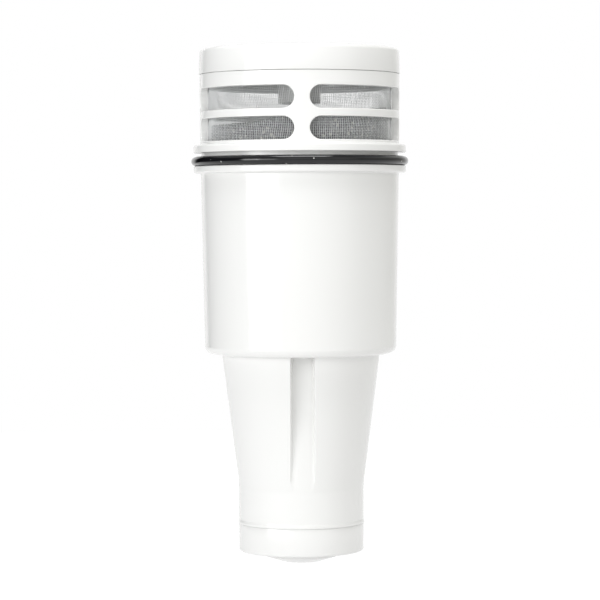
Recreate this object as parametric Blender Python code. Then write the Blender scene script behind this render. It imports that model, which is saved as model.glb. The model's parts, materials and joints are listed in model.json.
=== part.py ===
"""Water pitcher filter cartridge.

A moulded housing carries everything: a cage with inlet windows, two flanges with
a ring seal between them, a drafted body, a fluted cone and a sleeve. A cap closes
the top and a cap with the outlet closes the foot. Inside are the screen behind the
windows, the granular filter bed, its pad and grid, and the hollow-fibre module.
Heights are measured from the outlet's foot, where the cartridge stands.
"""

import math

import bmesh
import bpy
from mathutils import Vector

# How finely round shapes are divided
SHELL_STEPS = 44
FOOT_STEPS = 36
INNER_STEPS = 24
CHORD_ERROR = 0.000035
TURN = 2 * math.pi

# The gap between neighbouring pieces
CLEARANCE = 0.0003

# Heights, from the foot up: the fibre case gives the cone's height, and the bed gives the body's
OUTLET_HEIGHT = 0.0030
FOOT_CAP_HEIGHT = 0.0073
SLEEVE_HEIGHT = 0.0097
LOWER_FLANGE_HEIGHT = 0.0017
GROOVE_ROOM = 0.0014
UPPER_FLANGE_HEIGHT = 0.0021
SILL_HEIGHT = 0.0009
WINDOW_HEIGHT = 0.0061
WINDOW_RIB_HEIGHT = 0.0021
CAGE_RIM_HEIGHT = 0.0039
TOP_CAP_HEIGHT = 0.0067

# Outside of the housing: the flanges' radius, and the steps and drafts inwards from it
FLANGE_RADIUS = 0.0290
FLANGE_REACH = 0.00185
CAGE_DRAFT = 0.00015
BODY_STEP = 0.0001
BODY_DRAFT = 0.0009
SHOULDER_WIDTH = 0.00442
CONE_TAPER = 0.00458

# Walls of the housing
CAGE_WALL = 0.0018
BODY_WALL = 0.0018
CONE_WALL = 0.0018
SHOULDER_WALL = 0.0018
SCREEN_LEDGE_WIDTH = 0.00075
SCREEN_LEDGE_DROP = 0.0033

# Edges of the housing
SHOULDER_FILLET = 0.0021
FLANGE_FILLET = 0.0006
FLANGE_ROOT_FILLET = 0.0004
GROOVE_EDGE_FILLET = 0.0003
CONE_ROOT_FILLET = 0.0006
CONE_FOOT_BLEND = 0.0100
WELD_BEAD = 0.00015
WELD_BEAD_HEIGHT = 0.0006

# Inlet windows, in two rows between four pillars
WINDOWS_AROUND = 4
PILLAR_WIDTH = 0.0042
WINDOW_EDGE = 0.00025
WINDOW_END_STEPS = 4

# Flutes down the cone, one under each pillar
FLUTES = 4
FLUTE_WIDTH = 0.0064
FLUTE_FLOOR_STEPS = 4
FLUTE_END_LIFT = 0.00005

# Ring seal in the groove
RING_CORD = 0.0025
RING_PROUD = 0.00065
RING_CORD_STEPS = 8

# Top cap
CAP_SKIRT_LIP = 0.00015
CAP_DRAFT = 0.00025
CAP_EDGE_FILLET = 0.0011
CAP_WALL = 0.0020
SPIGOT_LENGTH = 0.0029
SPIGOT_WALL = 0.0014
CAP_POST_RADIUS = 0.00575
CAP_POST_WALL = 0.0014
CAP_POST_GAP = 0.0037

# Screen behind the windows
SCREEN_WALL = 0.0005
SCREEN_COLUMNS = 24
SCREEN_ROWS = 4
SCREEN_BAR_SHARE = 0.4
SCREEN_HEM = 0.0022

# Granular bed, and how far it stands up into the flanges and the cage
BED_DEPTH = 0.05815
BED_RISE = 0.0152
BED_HEAP = 0.0022
BED_DIP = 0.0012
BED_RINGS = 4

# Pad and grid under the bed
PAD_HEIGHT = 0.0015
GRID_HEIGHT = 0.0020
GRID_HUB_RADIUS = 0.0035
GRID_RIM_WIDTH = 0.0030
GRID_BAR_WIDTH = 0.0016
GRID_SLOTS = 12

# Hollow-fibre module in the cone
CASE_COLLAR_HEIGHT = 0.0090
CASE_HEIGHT = 0.0395
CASE_WALL = 0.0015
CASE_COLLAR_WALL = 0.00325
CASE_LIP_HEIGHT = 0.0012
CASE_LIP_WIDTH = 0.0016
CASE_SLOTS = 6
CASE_SLOT_WIDTH = 0.0050
CASE_SLOT_SILL = 0.0060
CASE_TOP_BAND = 0.0045
CASE_HEADROOM = 0.00375
SEAL_CORD = 0.00175
SEAL_CORD_STEPS = 8
SEAL_HEIGHT = 0.0042
SEAL_GROOVE_ROOM = 0.00065
POTTING_HEIGHT = 0.0057
FIBRE_RADIUS = 0.0014
FIBRE_BEND_RADIUS = 0.0022
FIBRE_GAP = 0.0006
FIBRE_ROW_GAP = 0.0008
FIBRE_HEADROOM = 0.0005
FIBRE_BEND_STEPS = 6

# Foot cap with the outlet
FOOT_CAP_DRAFT = 0.00015
FOOT_CAP_FILLET = 0.0005
FOOT_CAP_FLOOR = 0.0016
FOOT_SPIGOT_LENGTH = 0.0032
FOOT_SPIGOT_WALL = 0.0014
OUTLET_RADIUS = 0.0103
OUTLET_FACE_INSET = 0.0050
OUTLET_CHAMFER_HEIGHT = 0.0016
OUTLET_FILLET = 0.0020
OUTLET_EDGE_FILLET = 0.0006
OUTLET_HOLE_RADIUS = 0.0018
OUTLET_FUNNEL_RADIUS = 0.0045

# Levels, from the foot up
FOOT_CAP_BASE = OUTLET_HEIGHT
FOOT_CAP_RIM = FOOT_CAP_BASE + FOOT_CAP_HEIGHT
FOOT_SPIGOT_TOP = FOOT_CAP_RIM + FOOT_SPIGOT_LENGTH
SLEEVE_BASE = FOOT_CAP_RIM + CLEARANCE
CONE_BASE = SLEEVE_BASE + SLEEVE_HEIGHT
CASE_BASE = FOOT_SPIGOT_TOP + CLEARANCE
CASE_TOP = CASE_BASE + CASE_HEIGHT
BODY_BASE = CASE_TOP + CASE_HEADROOM
SHOULDER_TOP = BODY_BASE + SHOULDER_WALL
GRID_BASE = SHOULDER_TOP + CLEARANCE
PAD_BASE = GRID_BASE + GRID_HEIGHT + CLEARANCE
BED_BASE = PAD_BASE + PAD_HEIGHT + CLEARANCE
BED_TOP = BED_BASE + BED_DEPTH
LOWER_FLANGE_BASE = BED_TOP - BED_RISE
GROOVE_BASE = LOWER_FLANGE_BASE + LOWER_FLANGE_HEIGHT
UPPER_FLANGE_BASE = GROOVE_BASE + RING_CORD + GROOVE_ROOM
CAGE_BASE = UPPER_FLANGE_BASE + UPPER_FLANGE_HEIGHT
LOWER_WINDOW_BASE = CAGE_BASE + SILL_HEIGHT
UPPER_WINDOW_BASE = LOWER_WINDOW_BASE + WINDOW_HEIGHT + WINDOW_RIB_HEIGHT
CAGE_TOP = UPPER_WINDOW_BASE + WINDOW_HEIGHT + CAGE_RIM_HEIGHT
TOP_CAP_BASE = CAGE_TOP + CLEARANCE
TOP_CAP_TOP = TOP_CAP_BASE + TOP_CAP_HEIGHT
SPIGOT_BASE = TOP_CAP_BASE - SPIGOT_LENGTH
SCREEN_LEDGE = LOWER_WINDOW_BASE - SCREEN_LEDGE_DROP

# Outer radii, from the flanges inwards
RING_OUTER_RADIUS = FLANGE_RADIUS + RING_PROUD
CAGE_FOOT_RADIUS = FLANGE_RADIUS - FLANGE_REACH
CAGE_RIM_RADIUS = CAGE_FOOT_RADIUS + CAGE_DRAFT
CAP_SKIRT_RADIUS = CAGE_RIM_RADIUS + CAP_SKIRT_LIP
CAP_RIM_RADIUS = CAP_SKIRT_RADIUS - CAP_DRAFT
BODY_RIM_RADIUS = CAGE_FOOT_RADIUS - BODY_STEP
BODY_FOOT_RADIUS = BODY_RIM_RADIUS - BODY_DRAFT
CONE_RIM_RADIUS = BODY_FOOT_RADIUS - SHOULDER_WIDTH
SLEEVE_RADIUS = CONE_RIM_RADIUS - CONE_TAPER

# Bores of the housing
CAGE_BORE = CAGE_FOOT_RADIUS - CAGE_WALL
BODY_RIM_BORE = CAGE_BORE - SCREEN_LEDGE_WIDTH
BODY_FOOT_BORE = BODY_FOOT_RADIUS - BODY_WALL
CONE_RIM_BORE = CONE_RIM_RADIUS - CONE_WALL
SLEEVE_BORE = SLEEVE_RADIUS - CONE_WALL


def clear_scene():
    """Removes whatever the scene opens with."""
    for item in list(bpy.data.objects):
        bpy.data.objects.remove(item, do_unlink=True)


def plastic(name, colour, roughness, metallic=0.0):
    """A Principled material of one colour."""
    material = bpy.data.materials.new(name)
    material.use_nodes = True
    shader = material.node_tree.nodes["Principled BSDF"]
    shader.inputs["Base Color"].default_value = (*colour, 1.0)
    shader.inputs["Roughness"].default_value = roughness
    shader.inputs["Metallic"].default_value = metallic
    return material


def rounded(corners):
    """The closed outline through corners (radius, height, fillet), with each fillet as an arc."""
    points = []
    for index, (across, up, fillet) in enumerate(corners):
        corner = Vector((across, up))
        if fillet == 0:
            points.append(corner)
            continue
        back = Vector(corners[index - 1][:2]) - corner
        ahead = Vector(corners[(index + 1) % len(corners)][:2]) - corner
        half = back.angle(ahead) / 2
        reach = min(fillet / math.tan(half), 0.49 * back.length, 0.49 * ahead.length)
        radius = reach * math.tan(half)
        centre = corner + (back.normalized() + ahead.normalized()).normalized() * radius / math.sin(half)
        start = corner + back.normalized() * reach - centre
        end = corner + ahead.normalized() * reach - centre
        sweep = math.atan2(start.cross(end), start.dot(end))
        widest_step = 2 * math.acos(max(0.0, 1 - CHORD_ERROR / radius))
        steps = max(1, math.ceil(abs(sweep) / widest_step))
        first = math.atan2(start.y, start.x)
        for step in range(steps + 1):
            angle = first + sweep * step / steps
            points.append(centre + radius * Vector((math.cos(angle), math.sin(angle))))
    return points


def circle_outline(radius, height, cord, steps):
    """The section of a ring: a circle of the cord's diameter."""
    points = []
    for step in range(steps):
        angle = TURN * step / steps
        points.append(Vector((radius + cord / 2 * math.cos(angle), height + cord / 2 * math.sin(angle))))
    return points


def add_object(name, mesh, material=None):
    """Links a mesh to the scene as an object, with its round faces shaded smooth."""
    mesh.shade_smooth()
    mesh.set_sharp_from_angle(angle=math.radians(28))
    item = bpy.data.objects.new(name, mesh)
    if material is not None:
        mesh.materials.append(material)
    bpy.context.scene.collection.objects.link(item)
    return item


def finished_mesh(name, shape):
    """A mesh from a closed bmesh, with its faces turned outwards."""
    bmesh.ops.remove_doubles(shape, verts=shape.verts, dist=1e-7)
    bmesh.ops.recalc_face_normals(shape, faces=shape.faces)
    mesh = bpy.data.meshes.new(name)
    shape.to_mesh(mesh)
    shape.free()
    return mesh


def turned_mesh(name, outline, steps):
    """The mesh that a closed outline of (radius, height) points sweeps round the axis."""
    shape = bmesh.new()
    verts = [shape.verts.new((point[0], 0.0, point[1])) for point in outline]
    edges = []
    for index, vert in enumerate(verts):
        after = verts[(index + 1) % len(verts)]
        on_axis = vert.co.x == 0 and after.co.x == 0
        if not on_axis:
            edges.append(shape.edges.new((vert, after)))
    bmesh.ops.spin(
        shape, geom=verts + edges, axis=(0, 0, 1), cent=(0, 0, 0), angle=TURN, steps=steps, use_merge=True
    )
    return finished_mesh(name, shape)


def turned(name, outline, steps, material):
    """An object turned from its closed outline."""
    return add_object(name, turned_mesh(name, outline, steps), material)


def prism_mesh(name, plan, low, high):
    """The mesh of a flat plan of (x, y) points raised from one height to another."""
    shape = bmesh.new()
    foot = [shape.verts.new((x, y, low)) for x, y in plan]
    face = shape.faces.new(foot)
    raised = bmesh.ops.extrude_face_region(shape, geom=[face])
    lifted = [item for item in raised["geom"] if isinstance(item, bmesh.types.BMVert)]
    bmesh.ops.translate(shape, verts=lifted, vec=(0, 0, high - low))
    return finished_mesh(name, shape)


def side_prism_mesh(name, side, half_width):
    """The mesh of a side outline of (x, z) points, as wide as twice half_width along Y."""
    shape = bmesh.new()
    near = [shape.verts.new((x, -half_width, z)) for x, z in side]
    face = shape.faces.new(near)
    raised = bmesh.ops.extrude_face_region(shape, geom=[face])
    lifted = [item for item in raised["geom"] if isinstance(item, bmesh.types.BMVert)]
    bmesh.ops.translate(shape, verts=lifted, vec=(0, 2 * half_width, 0))
    return finished_mesh(name, shape)


def tool_ring(name, mesh, count, first_angle=0.0):
    """A hidden collection with copies of a cutting or joining shape, spaced evenly round the axis."""
    ring = bpy.data.collections.new(name)
    bpy.context.scene.collection.children.link(ring)
    for index in range(count):
        tool = bpy.data.objects.new(f"{name}_{index + 1}", mesh)
        tool.rotation_euler = (0, 0, first_angle + TURN * index / count)
        tool.hide_render = True
        tool.display_type = "WIRE"
        ring.objects.link(tool)
    return ring


def shape_with(item, tools, operation):
    """Cuts a ring of tools out of an object, or joins them to it."""
    modifier = item.modifiers.new(tools.name, "BOOLEAN")
    modifier.operation = operation
    modifier.operand_type = "COLLECTION"
    modifier.collection = tools
    modifier.solver = "EXACT"


def window_columns(edge):
    """Columns (angle, half height) across a window whose outline stands out by edge, tip to tip."""
    end_radius = WINDOW_HEIGHT / 2
    pillar_angle = math.asin(PILLAR_WIDTH / 2 / CAGE_FOOT_RADIUS)
    end_angle = end_radius / CAGE_FOOT_RADIUS
    columns = []
    for step in range(WINDOW_END_STEPS + 1):
        turn = math.pi / 2 * step / WINDOW_END_STEPS
        inward = (end_radius - (end_radius + edge) * math.cos(turn)) / CAGE_FOOT_RADIUS
        columns.append((pillar_angle + inward, (end_radius + edge) * math.sin(turn)))
    span = TURN / WINDOWS_AROUND
    facet = TURN / SHELL_STEPS
    straight = []
    for step in range(1, SHELL_STEPS):
        angle = facet * step
        if pillar_angle + end_angle + facet / 4 < angle < span - pillar_angle - end_angle - facet / 4:
            straight.append((angle, end_radius + edge))
    mirrored = [(span - angle, half) for angle, half in reversed(columns)]
    return columns + straight + mirrored


def window_cutter_mesh(name, base):
    """A window's opening: radial walls with round ends, flared by a small edge at the skin."""
    middle = base + WINDOW_HEIGHT / 2
    skin = CAGE_FOOT_RADIUS + (CAGE_RIM_RADIUS - CAGE_FOOT_RADIUS) * (middle - CAGE_BASE) / (CAGE_TOP - CAGE_BASE)
    layers = (
        (CAGE_BORE - 2 * CAGE_WALL, 0.0),
        (skin - WINDOW_EDGE, 0.0),
        (skin + 2 * WINDOW_EDGE, 3 * WINDOW_EDGE),
    )
    shape = bmesh.new()
    rows = []
    for radius, edge in layers:
        upper = []
        lower = []
        for angle, half in window_columns(edge):
            across = (radius * math.cos(angle), radius * math.sin(angle))
            upper.append(shape.verts.new((*across, middle + half)))
            lower.append(shape.verts.new((*across, middle - half)) if half > 1e-9 else upper[-1])
        rows.append((upper, lower))
    last = len(rows[0][0]) - 1
    for index in range(last):
        for (upper, lower), outwards in ((rows[0], False), (rows[-1], True)):
            loop = [lower[index], lower[index + 1], upper[index + 1], upper[index]]
            loop = list(dict.fromkeys(loop))
            shape.faces.new(loop if outwards else loop[::-1])
        for (upper, lower), (upper_out, lower_out) in zip(rows, rows[1:]):
            shape.faces.new((upper[index], upper[index + 1], upper_out[index + 1], upper_out[index]))
            shape.faces.new((lower[index + 1], lower[index], lower_out[index], lower_out[index + 1]))
    return finished_mesh(name, shape)


def flute_plan(half_width, floor_radius, reach):
    """A flute seen from above: a curved floor round the axis and two parallel walls."""
    half_angle = math.asin(half_width / floor_radius)
    plan = [(reach, -half_width)]
    for step in range(FLUTE_FLOOR_STEPS + 1):
        angle = half_angle * (2 * step / FLUTE_FLOOR_STEPS - 1)
        plan.append((floor_radius * math.cos(angle), floor_radius * math.sin(angle)))
    plan.append((reach, half_width))
    return plan


def housing_outline():
    """The housing's wall: down the outside from the cage's rim, then up the inside."""
    groove_floor = RING_OUTER_RADIUS - RING_CORD - CLEARANCE
    bead_radius = SLEEVE_RADIUS + WELD_BEAD
    corners = [
        (CAGE_RIM_RADIUS, CAGE_TOP, 0),
        (CAGE_FOOT_RADIUS, CAGE_BASE, FLANGE_ROOT_FILLET),
        (FLANGE_RADIUS, CAGE_BASE, FLANGE_FILLET),
        (FLANGE_RADIUS, UPPER_FLANGE_BASE, FLANGE_FILLET),
        (groove_floor, UPPER_FLANGE_BASE, 0),
        (groove_floor, GROOVE_BASE, 0),
        (FLANGE_RADIUS, GROOVE_BASE, GROOVE_EDGE_FILLET),
        (FLANGE_RADIUS, LOWER_FLANGE_BASE, FLANGE_FILLET),
        (BODY_RIM_RADIUS, LOWER_FLANGE_BASE, FLANGE_ROOT_FILLET),
        (BODY_FOOT_RADIUS, BODY_BASE, SHOULDER_FILLET),
        (CONE_RIM_RADIUS, BODY_BASE, CONE_ROOT_FILLET),
        (SLEEVE_RADIUS, CONE_BASE, CONE_FOOT_BLEND),
        (SLEEVE_RADIUS, SLEEVE_BASE + 2 * WELD_BEAD_HEIGHT, 0),
        (bead_radius, SLEEVE_BASE + WELD_BEAD_HEIGHT, 0),
        (bead_radius, SLEEVE_BASE, 0),
        (SLEEVE_BORE, SLEEVE_BASE, 0),
        (SLEEVE_BORE, CONE_BASE, 0),
        (CONE_RIM_BORE, SHOULDER_TOP, 0),
        (BODY_FOOT_BORE, SHOULDER_TOP, 0),
        (BODY_RIM_BORE, SCREEN_LEDGE, 0),
        (CAGE_BORE, SCREEN_LEDGE, 0),
        (CAGE_BORE, CAGE_TOP, 0),
    ]
    return rounded(corners)


def make_housing(material):
    """One moulding: cage, flanges, body, fluted cone and sleeve."""
    housing = turned("housing", housing_outline(), SHELL_STEPS, material)

    # Inside the cone, each flute's floor and sides stand in as a box with the cone's wall
    mid_wall = CONE_WALL / 2
    block_side = [
        (SLEEVE_BORE, CONE_BASE + CONE_WALL),
        (SLEEVE_RADIUS - mid_wall, CONE_BASE + CONE_WALL),
        (CONE_RIM_RADIUS - mid_wall, BODY_BASE + mid_wall),
        (SLEEVE_BORE, BODY_BASE + mid_wall),
    ]
    block = side_prism_mesh("flute_block", block_side, FLUTE_WIDTH / 2 + CONE_WALL)
    shape_with(housing, tool_ring("flute_blocks", block, FLUTES), "UNION")

    floor_radius = SLEEVE_RADIUS + FLUTE_END_LIFT
    plan = flute_plan(FLUTE_WIDTH / 2, floor_radius, CONE_RIM_RADIUS + CONE_WALL)
    flute = prism_mesh("flute", plan, CONE_BASE - CONE_WALL, BODY_BASE + CLEARANCE)
    shape_with(housing, tool_ring("flutes", flute, FLUTES), "DIFFERENCE")

    for row, base in (("lower", LOWER_WINDOW_BASE), ("upper", UPPER_WINDOW_BASE)):
        window = window_cutter_mesh(f"{row}_window", base)
        shape_with(housing, tool_ring(f"{row}_windows", window, WINDOWS_AROUND), "DIFFERENCE")
    return housing


def make_top_cap(material):
    """The cap: a skirt flush with the cage, a spigot inside it and a hollow post at the middle."""
    underside = TOP_CAP_TOP - CAP_WALL
    spigot_radius = CAGE_BORE - CLEARANCE
    post_foot = BED_TOP + CAP_POST_GAP
    post_bore = CAP_POST_RADIUS - CAP_POST_WALL
    corners = [
        (0, TOP_CAP_TOP, 0),
        (CAP_RIM_RADIUS, TOP_CAP_TOP, CAP_EDGE_FILLET),
        (CAP_SKIRT_RADIUS, TOP_CAP_BASE, 0),
        (spigot_radius, TOP_CAP_BASE, 0),
        (spigot_radius, SPIGOT_BASE, 0),
        (spigot_radius - SPIGOT_WALL, SPIGOT_BASE, 0),
        (spigot_radius - SPIGOT_WALL, underside, 0),
        (CAP_POST_RADIUS, underside, 0),
        (CAP_POST_RADIUS, post_foot, 0),
        (post_bore, post_foot, 0),
        (post_bore, underside, 0),
        (0, underside, 0),
    ]
    return turned("top_cap", rounded(corners), SHELL_STEPS, material)


def make_o_ring(material):
    """The black ring seal, lying on the lower flange."""
    radius = RING_OUTER_RADIUS - RING_CORD / 2
    height = GROOVE_BASE + CLEARANCE + RING_CORD / 2
    return turned("o_ring", circle_outline(radius, height, RING_CORD, RING_CORD_STEPS), SHELL_STEPS, material)


def make_screen(material):
    """The woven screen's sleeve: hems at both edges and bars round a grid of gaps."""
    outer = CAGE_BORE - CLEARANCE
    inner = outer - SCREEN_WALL
    low = SCREEN_LEDGE + CLEARANCE
    high = SPIGOT_BASE - CLEARANCE
    row_height = (high - low - 2 * SCREEN_HEM) / (SCREEN_ROWS - SCREEN_BAR_SHARE)
    levels = [low]
    for row in range(SCREEN_ROWS):
        levels.append(low + SCREEN_HEM + row * row_height)
        levels.append(low + SCREEN_HEM + (row + 1 - SCREEN_BAR_SHARE) * row_height)
    levels.append(high)
    column = TURN / SCREEN_COLUMNS
    angles = []
    for index in range(SCREEN_COLUMNS):
        angles.append(column * (index - SCREEN_BAR_SHARE / 2))
        angles.append(column * (index + SCREEN_BAR_SHARE / 2))
    shape = bmesh.new()
    skins = []
    for radius in (outer, inner):
        skin = []
        for level in levels:
            ring = [shape.verts.new((radius * math.cos(a), radius * math.sin(a), level)) for a in angles]
            skin.append(ring)
        skins.append(skin)

    def is_gap(row, side):
        return 0 < row < len(levels) - 2 and row % 2 == 1 and side % 2 == 1

    around = len(angles)
    outside, inside = skins
    for row in range(len(levels) - 1):
        for side in range(around):
            after = (side + 1) % around
            quad = [(row, side), (row, after), (row + 1, after), (row + 1, side)]
            if not is_gap(row, side):
                shape.faces.new([outside[r][s] for r, s in quad])
                shape.faces.new([inside[r][s] for r, s in reversed(quad)])
                continue
            for (r0, s0), (r1, s1) in zip(quad, quad[1:] + quad[:1]):
                shape.faces.new((outside[r0][s0], outside[r1][s1], inside[r1][s1], inside[r0][s0]))
    for row in (0, len(levels) - 1):
        for side in range(around):
            after = (side + 1) % around
            shape.faces.new((outside[row][side], outside[row][after], inside[row][after], inside[row][side]))
    return add_object("mesh_screen", finished_mesh("mesh_screen", shape), material)


def bed_surface(share, angle):
    """The height of the granular bed's top: heaped towards one side, with a hollow by a front window."""
    heap = BED_HEAP * share * math.cos(angle + math.radians(10))
    hollow_angle = math.radians(222)
    turn = math.remainder(angle - hollow_angle, TURN)
    dip = BED_DIP * share ** 2 * math.exp(-((turn / math.radians(24)) ** 2))
    ripple = 0.12 * BED_HEAP * share * math.sin(5 * angle + 3 * share)
    return BED_TOP + heap - dip + ripple


def make_bed(material):
    """The granular filter bed, poured onto its pad."""
    foot_radius = BODY_FOOT_BORE - CLEARANCE
    top_radius = min(CAGE_BORE - SCREEN_WALL - 2 * CLEARANCE, BODY_RIM_BORE - CLEARANCE)
    shape = bmesh.new()
    crown = shape.verts.new((0, 0, bed_surface(0, 0)))
    rings = []
    for ring in range(1, BED_RINGS + 1):
        share = ring / BED_RINGS
        radius = top_radius * share
        loop = []
        for step in range(INNER_STEPS):
            angle = TURN * step / INNER_STEPS
            height = bed_surface(share, angle)
            loop.append(shape.verts.new((radius * math.cos(angle), radius * math.sin(angle), height)))
        rings.append(loop)
    base = []
    for step in range(INNER_STEPS):
        angle = TURN * step / INNER_STEPS
        base.append(shape.verts.new((foot_radius * math.cos(angle), foot_radius * math.sin(angle), BED_BASE)))
    rings.append(base)
    for step in range(INNER_STEPS):
        after = (step + 1) % INNER_STEPS
        shape.faces.new((crown, rings[0][step], rings[0][after]))
        for near, far in zip(rings, rings[1:]):
            shape.faces.new((near[step], far[step], far[after], near[after]))
    shape.faces.new(list(reversed(base)))
    return add_object("filter_media", finished_mesh("filter_media", shape), material)


def disc_outline(radius, low, high):
    """The outline of a plain disc."""
    return [Vector((0, high)), Vector((radius, high)), Vector((radius, low)), Vector((0, low))]


def make_pad(material):
    """The felt pad that keeps grains out of the grid."""
    outline = disc_outline(BODY_FOOT_BORE - CLEARANCE, PAD_BASE, PAD_BASE + PAD_HEIGHT)
    return turned("separator_pad", outline, INNER_STEPS, material)


def make_grid(material):
    """The slotted disc on the shoulder that carries the pad and the bed."""
    radius = BODY_FOOT_BORE - CLEARANCE
    grid = turned("support_grid", disc_outline(radius, GRID_BASE, GRID_BASE + GRID_HEIGHT), INNER_STEPS, material)
    outer = radius - GRID_RIM_WIDTH
    half_turn = math.pi / GRID_SLOTS
    outer_half = outer * math.sin(half_turn) - GRID_BAR_WIDTH / 2
    inner = (GRID_HUB_RADIUS + GRID_BAR_WIDTH) / math.sin(half_turn) / 2
    inner_half = max(inner * math.sin(half_turn) - GRID_BAR_WIDTH / 2, GRID_BAR_WIDTH / 4)
    plan = [(inner, -inner_half), (outer, -outer_half), (outer, outer_half), (inner, inner_half)]
    slot = prism_mesh("grid_slot", plan, GRID_BASE - GRID_HEIGHT, GRID_BASE + 2 * GRID_HEIGHT)
    shape_with(grid, tool_ring("grid_slots", slot, GRID_SLOTS), "DIFFERENCE")
    return grid


def make_case(material):
    """The fibre module's case: a slotted tube on a thick collar with a seal groove."""
    radius = SLEEVE_BORE - CLEARANCE
    collar_bore = radius - CASE_COLLAR_WALL
    seal_level = CASE_BASE + SEAL_HEIGHT
    half_groove = (SEAL_CORD + SEAL_GROOVE_ROOM) / 2
    groove_floor = radius - SEAL_CORD - CLEARANCE
    corners = [
        (radius, CASE_TOP, 0),
        (radius, seal_level + half_groove, 0),
        (groove_floor, seal_level + half_groove, 0),
        (groove_floor, seal_level - half_groove, 0),
        (radius, seal_level - half_groove, 0),
        (radius, CASE_BASE, 0),
        (collar_bore - CASE_LIP_WIDTH, CASE_BASE, 0),
        (collar_bore - CASE_LIP_WIDTH, CASE_BASE + CASE_LIP_HEIGHT, 0),
        (collar_bore, CASE_BASE + CASE_LIP_HEIGHT, 0),
        (collar_bore, CASE_BASE + CASE_COLLAR_HEIGHT, 0),
        (radius - CASE_WALL, CASE_BASE + CASE_COLLAR_HEIGHT + CASE_WALL, 0),
        (radius - CASE_WALL, CASE_TOP, 0),
    ]
    case = turned("fibre_case", rounded(corners), INNER_STEPS, material)
    sill = CASE_BASE + CASE_COLLAR_HEIGHT + CASE_SLOT_SILL
    lintel = CASE_TOP - CASE_TOP_BAND
    side = [
        (radius - 2 * CASE_WALL, sill),
        (radius + CASE_WALL, sill),
        (radius + CASE_WALL, lintel),
        (radius - 2 * CASE_WALL, lintel),
    ]
    slot = side_prism_mesh("case_slot", side, CASE_SLOT_WIDTH / 2)
    slots = tool_ring("case_slots", slot, CASE_SLOTS, math.pi / CASE_SLOTS)
    shape_with(case, slots, "DIFFERENCE")
    return case


def make_case_seal(material):
    """The small ring that seals the fibre case in the sleeve."""
    radius = SLEEVE_BORE - CLEARANCE - SEAL_CORD / 2
    outline = circle_outline(radius, CASE_BASE + SEAL_HEIGHT, SEAL_CORD, SEAL_CORD_STEPS)
    return turned("case_seal", outline, INNER_STEPS, material)


def potting_levels():
    """The lowest and highest level of the resin that holds the fibres' ends."""
    low = CASE_BASE + CASE_LIP_HEIGHT + CLEARANCE
    return low, low + POTTING_HEIGHT


def make_potting(material):
    """The resin disc that the fibres' open ends are cast in."""
    low, high = potting_levels()
    radius = SLEEVE_BORE - CASE_COLLAR_WALL - 2 * CLEARANCE
    return turned("potting_disc", disc_outline(radius, low, high), INNER_STEPS, material)


def make_fibre_loops(material):
    """Loops of hollow fibre standing on the resin, in nested bends and parallel rows."""
    foot = potting_levels()[1] + CLEARANCE
    room = SLEEVE_BORE - CASE_COLLAR_WALL - 2 * CLEARANCE - FIBRE_RADIUS
    bend_level = CASE_TOP - FIBRE_HEADROOM - FIBRE_RADIUS - room
    pitch = 2 * FIBRE_RADIUS + FIBRE_GAP
    row_pitch = 2 * FIBRE_RADIUS + FIBRE_ROW_GAP
    rows = int(room / row_pitch)
    count = 0
    loops = []
    for row in range(-rows, rows + 1):
        across = row * row_pitch
        reach = math.sqrt(room ** 2 - across ** 2)
        half_span = FIBRE_BEND_RADIUS
        while half_span <= reach:
            count += 1
            loops.append(fibre_loop(f"fibre_loop_{count:02d}", half_span, across, foot, bend_level, material))
            half_span += pitch
    return loops


def fibre_loop(name, half_span, across, foot, bend_level, material):
    """One loop: up, round a half circle and down again."""
    points = [(-half_span, foot)]
    for step in range(FIBRE_BEND_STEPS + 1):
        angle = math.pi * (1 - step / FIBRE_BEND_STEPS)
        points.append((half_span * math.cos(angle), bend_level + half_span * math.sin(angle)))
    points.append((half_span, foot))
    curve = bpy.data.curves.new(name, "CURVE")
    curve.dimensions = "3D"
    curve.bevel_depth = FIBRE_RADIUS
    curve.bevel_resolution = 1
    curve.use_fill_caps = True
    spline = curve.splines.new("POLY")
    spline.points.add(len(points) - 1)
    for point, (x, z) in zip(spline.points, points):
        point.co = (x, across, z, 1.0)
    curve.materials.append(material)
    item = bpy.data.objects.new(name, curve)
    bpy.context.scene.collection.objects.link(item)
    return item


def make_bottom_cap(material):
    """The foot cap: a cup with a spigot up the sleeve and a round outlet nose."""
    spigot_radius = SLEEVE_BORE - CLEARANCE
    spigot_bore = spigot_radius - FOOT_SPIGOT_WALL
    floor = FOOT_CAP_BASE + FOOT_CAP_FLOOR
    corners = [
        (spigot_radius, FOOT_SPIGOT_TOP, 0),
        (spigot_radius, FOOT_CAP_RIM, 0),
        (SLEEVE_RADIUS, FOOT_CAP_RIM, 0),
        (SLEEVE_RADIUS - FOOT_CAP_DRAFT, FOOT_CAP_BASE, FOOT_CAP_FILLET),
        (OUTLET_RADIUS, FOOT_CAP_BASE, 0),
        (OUTLET_RADIUS, OUTLET_CHAMFER_HEIGHT, OUTLET_EDGE_FILLET),
        (OUTLET_RADIUS - OUTLET_FACE_INSET, 0, OUTLET_FILLET),
        (OUTLET_HOLE_RADIUS, 0, 0),
        (OUTLET_HOLE_RADIUS, OUTLET_HEIGHT, 0),
        (OUTLET_FUNNEL_RADIUS, floor, 0),
        (spigot_bore, floor, 0),
        (spigot_bore, FOOT_SPIGOT_TOP, 0),
    ]
    return turned("bottom_cap", rounded(corners), FOOT_STEPS, material)


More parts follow.
